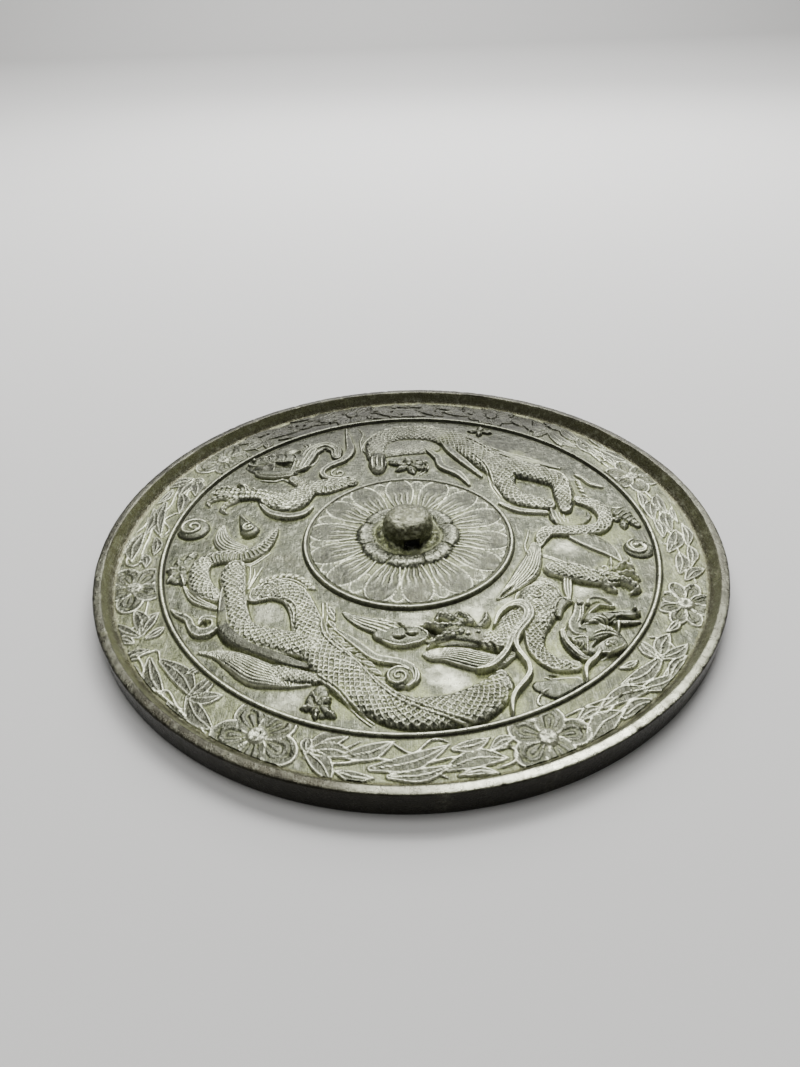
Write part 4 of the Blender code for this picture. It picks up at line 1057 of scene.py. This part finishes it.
def far_paws(wax):
    """The two paws under the arch of its back, knuckles down."""
    paw = wax.form([(-12.4, 61, 3.6), (-12.2, 55.5, 4.3), (-12, 50.2, 3)], 3, crown=3)
    for x in (-14.6, -12.2, -9.9):
        wax.lines(([(x, 60), (x - 0.4, 55), (x, 50.4)], 0.6, 0.5),
                  ([(x + 1.2, 59), (x + 0.9, 55), (x + 1.2, 51)], 0.45, -0.5))
    edged(wax, paw, 0.3, 0.2)
    knuckles(wax, ((-5, 56, 2.6), (-1.8, 50.5, 2.4), (1.6, 57, 2.8), (3.4, 48.6, 2.4), (7.4, 54.4, 2.8),
                   (8.2, 49.8, 2)), 2.3)
    for shift in (0, 2.1):
        wax.line([
            (5.4 + shift, 59 - shift), (8.3 + shift * 0.8, 55.5), (8.8 + shift * 0.8, 50), (5.5, 46.4 - shift)],
            0.5, 0.7)


def far_head(wax):
    """The far dragon's neck and head, which looks left with its jaws apart."""
    chest = wax.form([
        (-50, 44.5, 2.2), (-46, 40.5, 3), (-41, 36.5, 3.2), (-34, 35.6, 2.8), (-26, 38.5, 1.2)], 1.9)
    barred(wax, chest, 1.9, 0.22)
    edged(wax, chest, 0.4, 0.3)
    neck = wax.form([
        (-48, 55, 4.2), (-46, 62, 4.6), (-43.5, 69, 4.4), (-38, 73.5, 3.6), (-32.5, 70, 3.2),
        (-31.6, 63.5, 2.4)], 2.1)
    veins(wax, neck, 5, 0.35)
    for wide in (3.2, 5):
        wax.line([
            (-37 + wide * math.cos(a), 65 + 1.4 * wide * math.sin(a)) for a in np.linspace(3.1, -0.4, 9)], 0.42,
            0.5)
    wax.line([(-48.8, 50.5), (-45, 54), (-42, 57.6), (-40.2, 62), (-39.6, 66)], 0.5, 0.6)
    ribbon = wax.form([
        (-28, 89, 0.5), (-26.5, 79, 1.5), (-25.2, 68, 2.3), (-28, 60, 1.9), (-34.5, 55, 1.5), (-37.4, 50, 1.4),
        (-35.4, 45.4, 1.3), (-30, 43.6, 1.1), (-25.6, 45.4, 0.6)], 2)
    edged(wax, ribbon, 0.4, 0.35)
    wax.curl(-30, 49.6, 3.8, 1.2, 120, 0.7, 0.5)
    wax.line([(-22, 90), (-19.5, 84), (-20.6, 76), (-20, 68)], 0.5, 0.6)
    cheek = wax.form([
        (-46, 58, 4), (-53, 56.5, 8.6), (-59.5, 56, 8.2), (-66, 56.4, 5.6), (-71.4, 57, 2.2)], 1.7, crown=3)
    wax.z[cheek.pick] += 0.5 * grain(wax.x[cheek.pick], wax.y[cheek.pick], 2.4, 61)
    wax.shade[cheek.pick] = 0.25 - 0.15 * grain(wax.x[cheek.pick], wax.y[cheek.pick], 1.3, 62)
    jaw = wax.form([(-53, 49.6, 3), (-59, 49.4, 3.2), (-65, 50.2, 2.6), (-67.4, 51.2, 1)], 2.3, crown=2.4)
    edged(wax, jaw, 0.4, 0.3)
    skull = wax.form([
        (-49.5, 61.5, 4.6), (-55, 62, 5.4), (-61, 61.4, 4.8), (-67, 60, 3.8), (-70.6, 59, 2)], 2.9, crown=2.6)
    edged(wax, skull, 0.5, 0.3)
    wax.lines(([(-59, 57), (-56, 55.6), (-52.4, 57)], 2.6, -2.2),
              ([(-59.8, 58), (-59.4, 54), (-59.8, 51)], 0.5, 0.6),
              ([(-50.4, 60), (-50.8, 55), (-51.6, 50.4)], 0.5, 0.6),
              ([(-65, 45.6), (-61, 44.8), (-58, 44.6), (-55, 45.6), (-53, 44.4), (-50.2, 41.6)], 0.55, 0.8))
    for along in range(5):
        wax.line([(-68.5 + 4 * along, 64.5), (-66.8 + 4 * along, 61.5), (-67.6 + 4 * along, 58.8)], 0.5, -0.55)
    wax.boss(-69.4, 60, 1.6, 3.2)
    wax.boss(-60.4, 63, 1.7, 3.5)
    wax.dimple(-60.4, 63, 0.8, 0.6)
    for shift in (0, 2.2):
        wax.line([(-67.5 + shift, 59.5), (-66 + shift, 62.4), (-64 + shift, 60.6)], 0.42, 0.5)
    wax.line([(-70, 62), (-66, 65.6), (-61, 67.2), (-56.5, 66.8)], 0.45, 0.5)
    ear = wax.form([(-57, 64.6, 1), (-53, 66, 2.5), (-49.6, 69.6, 0.8)], 3.1)
    wax.mark(ear.pick, 0.5)
    veins(wax, ear, 2, 0.3)
    for shift in (0, 1.6):
        wax.line([(-48 + shift, 75.6), (-46 + shift, 73.4), (-46.6 + shift, 70.8)], 0.5, 0.7)


def clouds(wax):
    """Curled clouds, the flaming pearl and the drop-shaped cloud in the gaps between the dragons."""
    scroll = wax.form([
        (-86.5, -38, 0.5), (-83.5, -41, 1), (-79.5, -43.6, 1.4), (-77.3, -47.6, 1.6), (-74.6, -50.6, 2),
        (-71, -50.6, 2), (-69, -47.4, 1.6), (-70.4, -43.8, 1.4), (-74, -43.6, 1.2), (-75, -46, 0.6)], 1.9)
    edged(wax, scroll, 0.35, 0.4, 0.3)
    wax.lines(([(-84.5, -39), (-82, -40.8), (-78.6, -42.4), (-76.6, -45.6), (-74.4, -48.6), (-71.4, -49)], 0.4,
               0.5),
              ([(-73.6, -44.6), (-72.6, -46.4)], 0.8, -0.9))
    sweep = wax.form([
        (-24.4, -42.2, 0.5), (-22, -44.6, 1.6), (-17, -48, 3), (-11, -51, 4), (-6, -54, 4.6)], 1.8)
    veins(wax, sweep, 5, 0.4)
    wax.form([(-11, -54.5, 3), (-5.5, -56, 4.6), (0, -55.8, 4.4), (3.8, -55, 2.2)], 2.2, crown=6)
    wax.lines(([(-10.5, -58), (-7, -60), (-3.5, -60.6), (0, -59.9), (3, -58.8), (5, -57)], 0.5, 0.6),
              ([(-1.5, -51.8), (2, -52.6), (4.6, -54.6), (5, -57)], 0.5, 0.55))
    for x, y in ((-4.8, -57.4), (-0.4, -56.1)):
        wax.lines(([(x - 1.9, y + 0.4), (x, y - 0.3), (x + 1.9, y + 0.4)], 0.75, -1.2),
                  ([(x - 2.2, y + 1), (x, y + 0.7), (x + 2.2, y + 1.2)], 0.42, 0.6))
    for shift in (0, 1.1, 2.2):
        wax.line([
            (-12 + shift, -47.6 - shift * 0.8), (-7.8 + shift * 0.9, -47.6 - shift * 0.9),
            (-4.4 + shift * 0.4, -50.4 - shift * 0.5), (-2.2, -54.2)], 0.4, 0.5)
    band = wax.form([
        (-27, -51, 0.7), (-20, -58, 1.6), (-13, -65, 1.7), (-5, -67.6, 1.6), (-0.6, -70.8, 1.5),
        (0.2, -75, 1.3), (-2.4, -78.2, 0.8)], 1.7)
    edged(wax, band, 0.35, 0.4, 0.3)
    wax.boss(-5.4, -74, 4.9, 1.7, crown=5)
    wax.curl(-5.4, -74, 4.3, 1.7, 40, 0.7, 0.45)
    wax.line([(-0.3, -70), (0.3, -73.2), (-0.2, -76), (-2, -77.8), (-4, -78.6)], 0.45, 0.7)
    wax.boss(89, -12.8, 5.9, 1.5, crown=5)
    wax.curl(89, -12.8, 5.3, 1.1, 100, 0.8, 0.6)
    wax.curl(89, -12.8, 3.6, 1, 120, 0.7, 0.5)
    wax.boss(87.6, -12.2, 1.6, 2.7)
    wax.mark(np.flatnonzero(np.hypot(wax.x - 87.8, wax.y + 12.2) < 1.3), 0.8)
    wax.line([(90.8, -7.2), (92.4, -9), (91.4, -11), (90.2, -10.6)], 0.7, -0.8)
    wax.boss(-88, 10, 6.7, 2, crown=5)
    wax.curl(-88, 10, 5.8, 1.5, 40, 0.8, 0.65)
    wax.boss(-86.6, 8.4, 1.9, 2.9)
    wax.form([(-70, 19.5, 0.6), (-67.5, 14, 2.2), (-64.6, 8, 4)], 2)
    wax.curl(-64.6, 8.4, 3.1, 1.2, 100, 0.8, 0.5, tail=((-69.5, 18), (-67, 14)))
    wax.line([(-68, 4.5), (-64.5, 3.2), (-61, 5)], 0.8, -0.7)
    for place, radius in (((79, -5), 5), ((77, -25), 8), ((67, 6), 7), ((52, 60), 5), ((58, 53), 5),
                          ((46.6, -63), 4.5), ((55, -73), 4), ((30, -89), 3), ((35, -70), 4), ((27, -55), 4),
                          ((-65, 2), 5), ((-22, -86), 4), ((-24, -80), 4), ((-68, -45), 4), ((8, -62), 3),
                          ((66, -45), 4), ((1, -80), 4), ((85, -3), 5), ((-78, 28), 4), ((15, 66), 6),
                          ((20, 74), 5), ((30, -86), 5), ((48, -76), 4), ((22, -76), 5), ((33, -44), 4)):
        wax.soil(*place, radius, 0.9)


LOTUS_RIDGE = 43.5
# Painted highlights: patches of flat ground made pale bare metal, for the sheen on the flats: place, radius,
# and how pale.
SHEEN_PATCHES = ((11, -75, 7, 0.55), (23, -47, 8, 0.5), (33, -36, 6, 0.35), (62, -9.5, 6, 0.4), (62, -34, 6, 0.4),
            (-52, -40, 8, 0.25), (-40, -82, 7, 0.25), (0, -47, 6, 0.3), (45, -20, 6, 0.3), (48, 15, 6, 0.3))


def polished(wax, x, y, radius, amount):
    """One such patch of painted highlight, with an uneven edge, on the ground only."""
    away = np.hypot(wax.x - x, wax.y - y) / radius + 0.35 * grain(wax.x, wax.y, 2.6, 36)
    flat = (wax.z < FIELD_GROUND + 0.3) & (np.hypot(wax.x, wax.y) > LOTUS_RIDGE)
    wax.bright = np.maximum(wax.bright, amount * np.clip(1.2 - away, 0, 1) * flat)


def carve_field(x, y):
    """The field's wax, from what lies lowest to what lies over it; the far side gets painted shade."""
    wax = Wax(x, y, FIELD_GROUND)
    for shape in (clouds, far_legs, far_body, far_paws, far_head, near_body, near_hind_leg, near_far_arm,
                  near_shoulder, near_fore_leg, near_ribbons, near_head):
        shape(wax)
    # Painted highlights on the flat ground.
    for patch in SHEEN_PATCHES:
        polished(wax, *patch)
    wax.z += 0.05 * grain(x, y, 0.8, 31) + 0.06 * grain(x, y, 1.9, 34) + 0.05 * grain(x, y, 3.9, 32)
    wax.z += 0.07 * grain(x, y, 12, 33)
    # Painted shade towards the far side, with fainter pale marks there.
    far_side = np.clip((y - 25) / 45, 0, 1)
    wax.shade = np.clip(wax.shade + 0.58 * far_side, 0, 1)
    wax.bright *= 1 - 0.3 * far_side
    return wax


FIELD_CELL = 0.29
FIELD_RINGS = (("dragon_field_first", 42.9, 58.5), ("dragon_field_second", 58.4, 72.0),
               ("dragon_field_third", 71.9, 84.0), ("dragon_field_fourth", 83.9, 94.95))
for name, inner, outer in FIELD_RINGS:
    relief_ring(name, inner, outer, carve_field, relief_bronze, FIELD_CELL)


# The lotus medallion: two rows of petals round the knob, inside the inner ring ridge.
# Cast with the plate; its inner petals are thick and fleshy, its outer ones thin and veined.
LOTUS_RING = 41.3
KNOB_FOOT = 9.0
HOLE_MIDDLE = 1.2
OUTER_PETALS = 14
INNER_PETALS = 8
OUTER_TURN = 95
INNER_TURN = 310
OUTER_PETAL = ((20, 3.4), (26.5, 5.6), (32.5, 6.6), (36.2, 5.0), (38.6, 1.4))
TIP_BETWEEN = ((29, 1.5), (34, 3.4), (37.2, 2.4), (39.2, 0.4))
FLESHY_INSIDE = 12.3
HEAP_REACH = 15.0


def carve_lotus(x, y):
    """The medallion's wax: thin petals, fleshy petals over them, dirt, and the ring ridge."""
    radius = np.hypot(x, y)
    turn = np.degrees(np.arctan2(y, x))
    wax = Wax(x, y, LOTUS_GROUND)

    def petal_route(shape, turn):
        return [(*polar(out, turn), half) for out, half in shape]

    for number in range(OUTER_PETALS):
        at = OUTER_TURN + (number + 0.5) * 360 / OUTER_PETALS
        tip = wax.form(petal_route(TIP_BETWEEN, at), 0.5, crown=5)
        edged(wax, tip, 0.35, 0.22, 0.3, pale=0.6)
    for number in range(OUTER_PETALS):
        at = OUTER_TURN + number * 360 / OUTER_PETALS + 1.5 * math.sin(number * 2.3)
        petal = wax.form(petal_route(OUTER_PETAL, at), 0.8, crown=6)
        wax.z[petal.pick] -= 0.5 * (1 - np.abs(petal.side) ** 3) * np.clip(petal.run / 12 - 0.35, 0, 1)
        wander = 1.3 * grain(x[petal.pick], y[petal.pick], 3.1, 57)
        ribs = 0.5 + 0.5 * np.cos(math.pi * 4.3 * petal.side + 0.12 * petal.run + wander)
        fade = np.clip((12.8 - petal.run + wander) / 4.5, 0, 1) * (1 - petal.side ** 4)
        wax.z[petal.pick] += 0.4 * (ribs - 0.5) * fade
        wax.mark(petal.pick, 0.42 * np.clip(ribs * 3 - 2, 0, 1) * fade)
        edged(wax, petal, 0.55, 0.42, 0.36, pale=0.7)
        tip_shade = 0.38 + 0.12 * np.clip(petal.run / 5 - 1.8, 0, 1)
        wax.darken(petal.pick, tip_shade * (1 - np.abs(petal.side) ** 3))

    # The fleshy petals swell out of one ring, which dips where two of them meet.
    swell = np.abs(np.cos(np.radians((turn - INNER_TURN) * INNER_PETALS / 2))) ** 0.45
    outside = 19.9 + 1.5 * swell
    middle, half = (FLESHY_INSIDE + outside) / 2, (outside - FLESHY_INSIDE) / 2
    across = np.clip(np.abs(radius - middle) / half, 0, 1)
    fleshy = (1.4 + 0.7 * swell) * (1 - across ** 2.2) ** 0.8
    on_fleshy = LOTUS_GROUND + fleshy > wax.z
    fleshy_skin = fleshy + 0.2 * grain(x, y, 1.3, 48) + 0.16 * grain(x, y, 0.7, 49)
    wax.z = np.where(on_fleshy, LOTUS_GROUND + fleshy_skin, wax.z)
    # Painted highlight on the inner side of each lobe's crest, and painted shade on the lobes' outer slopes.
    outer_side = np.clip((radius - middle) / half, 0, 1)
    worn = 0.6 * np.clip(1 - np.abs(outer_side - 0.3) * 3.2, 0, 1) * swell
    wax.bright = np.where(on_fleshy, worn, wax.bright)
    wax.shade = np.where(on_fleshy, 0.28 + 0.16 * np.clip(outer_side * 2.4 - 1.2, 0, 1), wax.shade)
    for number in range(INNER_PETALS):
        at = INNER_TURN + (number + 0.5) * 360 / INNER_PETALS
        wax.line([polar(FLESHY_INSIDE + 1, at + 3), polar(17, at + 1.5), polar(20.6, at)], 0.6, -0.32)
        wax.line([polar(14, at + 20), polar(17, at + 24), polar(19.6, at + 22)], 0.4, -0.2)

    # Dirt is heaped round the knob's foot, but not before the mouths of its hole.
    heap = np.clip((HEAP_REACH + 1.8 * grain(turn / 9, turn * 0, 2.2, 43) - radius) / 5.8, 0, 1)
    mouth = np.clip((np.abs(x - HOLE_MIDDLE) - 2.2) / 2.5, 0.25, 1)
    lumpy = 1 + 0.3 * grain(x, y, 1.4, 44)
    wax.z = np.maximum(wax.z, LOTUS_GROUND + 0.3 + 3.4 * heap ** 1.1 * mouth * lumpy)
    wax.dirt = np.clip(heap * 1.6, 0, 0.95) * (0.5 + 0.45 * grain(x, y, 1.3, 47))
    wax.dirt *= np.clip((radius - KNOB_FOOT) / 1.2, 0.5, 1)
    wax.shade = np.maximum(wax.shade, 0.3 * np.clip((10.8 - radius) / 1.4, 0, 1))
    wax.z += 0.04 * grain(x, y, 0.9, 41) + 0.05 * grain(x, y, 2.0, 46) + 0.04 * grain(x, y, 4.1, 42)
    ring = ring_profile(radius, LOTUS_RING, LOTUS_GROUND, FIELD_GROUND)
    wax.z = np.where(radius > LOTUS_RING - RING_HALF, ring + 0.03 * grain(x, y, 2.3, 45), wax.z)
    ring_tone(wax, radius, LOTUS_RING)
    return wax


relief_ring("lotus_medallion", KNOB_FOOT - 1, 43.0, carve_lotus, relief_bronze)


# The knob: a squat pierced boss, cast with the plate and bored from front to back for a cord.
# Handling has polished its flattened top, and its sides are dark and pitted.
KNOB_TOP = (high[2] - low[2]) / MM
KNOB_OUTLINE = ((0, KNOB_TOP), (3.6, KNOB_TOP - 0.1), (5.8, KNOB_TOP - 0.35), (7.2, 15.6), (8.2, 14.9),
                (9.0, 13.9), (9.6, 12.7), (9.95, 11.2), (10.0, 9.6), (9.9, 8.0), (9.6, 6.2), (9.2, 4.4),
                (9.0, 3.6))
KNOB_STEPS = 200
HOLE_WIDTH = 6.0
HOLE_TOP = 10.2
HOLE_FLOOR = 4.65
BORE_REACH = 0.016


def turned_knob():
    """The knob's outline spun round, then cut through by an arched hole."""
    outline = [knot[:2] for knot in smooth_route([(*knot, 1) for knot in KNOB_OUTLINE], step=0.3)]
    outline.append((0, outline[-1][1]))
    blank = placed("knob_blank", spun("knob_blank", outline, KNOB_STEPS, MM, 0.00001))

    bore = bmesh.new()
    half = HOLE_WIDTH / 2
    arch = [(HOLE_MIDDLE + half * math.cos(a), HOLE_TOP - half + half * math.sin(a))
            for a in np.linspace(0, math.pi, 25)]
    arch += [(HOLE_MIDDLE - half, HOLE_FLOOR), (HOLE_MIDDLE + half, HOLE_FLOOR)]
    mouth = bore.faces.new([bore.verts.new((x * MM, -BORE_REACH, z * MM)) for x, z in arch])
    drawn = bmesh.ops.extrude_face_region(bore, geom=[mouth])["geom"]
    bmesh.ops.translate(bore, vec=(0, 2 * BORE_REACH, 0),
                        verts=[v for v in drawn if isinstance(v, bmesh.types.BMVert)])
    cutter = placed("knob_bore", as_mesh("knob_bore", bore))
    cut = blank.modifiers.new("bore", "BOOLEAN")
    cut.operation = "DIFFERENCE"
    cut.solver = "MANIFOLD"
    cut.object = cutter
    bpy.context.view_layer.update()
    bored = bpy.data.meshes.new_from_object(blank.evaluated_get(bpy.context.evaluated_depsgraph_get()))
    bored.name = "knob"
    bpy.data.objects.remove(blank)
    bpy.data.objects.remove(cutter)
    return bored


knob_mesh = turned_knob()
x, y, z = places_of(knob_mesh) / MM
radius = np.hypot(x, y)

# Lumps and pits push the skin in and out, but leave the hole's own walls alone.
outside = np.clip((radius - 5) / 3, 0, 1) + np.clip((z - 12.5) / 2, 0, 1)
lumps = 0.16 * grain(x + 3 * z, y - 2 * z, 3.4, 51) + 0.08 * grain(x - z, y + z, 1.3, 52)
pits = -0.28 * np.clip(grain(x * 1.3 - z, y * 1.3 + z, 1.25, 53) - 0.5, 0, 1) * 2
push = np.clip(outside, 0, 1) * (lumps - 0.1 + pits)
swing = 1 + np.where(z < 13.5, push / np.maximum(radius, 4), push * 0.5 / np.maximum(radius, 4))
z = z + np.clip((z - 12) / 3, 0, 1) * (0.5 * push - 0.05)
put(knob_mesh, x * swing, y * swing, np.minimum(z, KNOB_TOP))
knob_mesh.set_sharp_from_angle(angle=math.radians(50))

# The hole gets painted shade, the top is speckled, and the brow round it is worn to bare metal with a painted
# highlight.
in_bore = (np.abs(x - HOLE_MIDDLE) < HOLE_WIDTH / 2 + 0.2) & (z < HOLE_TOP + 0.2)
flat_top = np.clip((1.3 - radius * 0.04 - np.abs(z - 16.0)) / 0.5, 0, 1)
speckle = np.clip(0.5 + 0.5 * grain(x, y + z, 0.7, 55) + 0.4 * grain(x, y - z, 1.7, 56), 0, 1)
tell(knob_mesh, "shade", np.clip((0.16 + 0.3 * speckle) * flat_top + in_bore + 2 * np.clip(-pits, 0, 1), 0, 1))
tell(knob_mesh, "hollow", np.zeros_like(z))
brow_wear_and_glint = np.clip(1 - np.abs(z - 15.2) / 0.7, 0, 1)
tell(knob_mesh, "rubbed", 0.7 * brow_wear_and_glint * speckle + 0.4 * np.clip(grain(x, y + z, 1.1, 54), 0, 1))
tell(knob_mesh, "dirt", np.clip((7.5 - z) / 3, 0, 1) * 0.4 + 0.22)
finish_piece("knob", knob_mesh, old_bronze("knob_bronze", brown=0.3))


# The stand-in for a studio table: one pale matte sheet that turns up behind the mirror, two
# soft lights behind it, low and high, a weak one overhead, and one for the back of the sheet.
SHEET = 4.0
SHEET_BACK = 2.4
SHEET_TURN = 0.5
PAPER = (0.56, 0.555, 0.545, 1)
sweep = bmesh.new()
bmesh.ops.create_grid(sweep, x_segments=1, y_segments=1, size=SHEET)
far_corners = [v for v in sweep.verts if v.co.y > SHEET - 0.1]
far_edge = [edge for edge in sweep.edges if all(v in far_corners for v in edge.verts)]
bmesh.ops.translate(sweep, vec=(0, SHEET_BACK - SHEET, 0), verts=far_corners)
bmesh.ops.spin(sweep, geom=far_edge + [v for edge in far_edge for v in edge.verts], axis=(1, 0, 0),
               cent=(0, SHEET_BACK, SHEET_TURN), dvec=(0, 0, 0), angle=math.pi / 2, steps=24)
floor_mesh = as_mesh("floor", sweep)
floor_mesh.shade_smooth()
floor = placed("floor", floor_mesh)
paper = bpy.data.materials.new("pale_paper")
paper.use_nodes = True
matte = paper.node_tree.nodes["Principled BSDF"].inputs
matte["Base Color"].default_value = PAPER
matte["Roughness"].default_value = 0.9
matte["Specular IOR Level"].default_value = 0.1
floor_mesh.materials.append(paper)

# Each light's name, place, what it is aimed at, size and power.
for name, place, aim, size, power in (("low_light", (0.2, 1.05, 0.66), (0, 0, 0), (1.2, 0.35), 6.4),
                                      ("back_light", (0.15, 0.75, 1.0), (0.05, 0.3, 0), (1.0, 0.5), 21.5),
                                      ("top_light", (-0.1, 0.15, 1.4), (0, 0, 0), (0.5, 0.5), 7.5),
                                      ("sheet_light", (0, 1.5, 1.9), (0, 2.6, 0.1), (2.0, 0.6), 70.0)):
    lamp = bpy.data.lights.new(name, "AREA")
    lamp.shape = "RECTANGLE"
    lamp.size, lamp.size_y = size
    lamp.energy = power
    holder = placed(name, lamp)
    holder.location = place
    holder.rotation_euler = (Vector(aim) - Vector(place)).to_track_quat("-Z", "Y").to_euler()

SKY = (0.98, 0.98, 0.96, 1)
SKY_STRENGTH = 0.27
world = bpy.data.worlds.new("studio")
bpy.context.scene.world = world
world.use_nodes = True
sky = world.node_tree.nodes["Background"].inputs
sky["Color"].default_value = SKY
sky["Strength"].default_value = SKY_STRENGTH

# The view: a phone held over the near edge, looking down on the mirror, and slightly askew.
CAMERA_PLACE = (-0.003218, -0.234279, 0.185190)
LOOK_DOWN = 37.395
ASKEW = -2.145
FOCAL_LENGTH = 24.915
lens = bpy.data.cameras.new("view")
lens.lens = FOCAL_LENGTH
lens.sensor_width = 36.0
lens.clip_start = 0.01
camera = placed("view", lens)
camera.location = CAMERA_PLACE
tilt, roll = math.radians(90 - LOOK_DOWN), math.radians(ASKEW)
camera.rotation_euler = (Matrix.Rotation(tilt, 3, "X") @ Matrix.Rotation(roll, 3, "Z")).to_euler()
bpy.context.scene.camera = camera
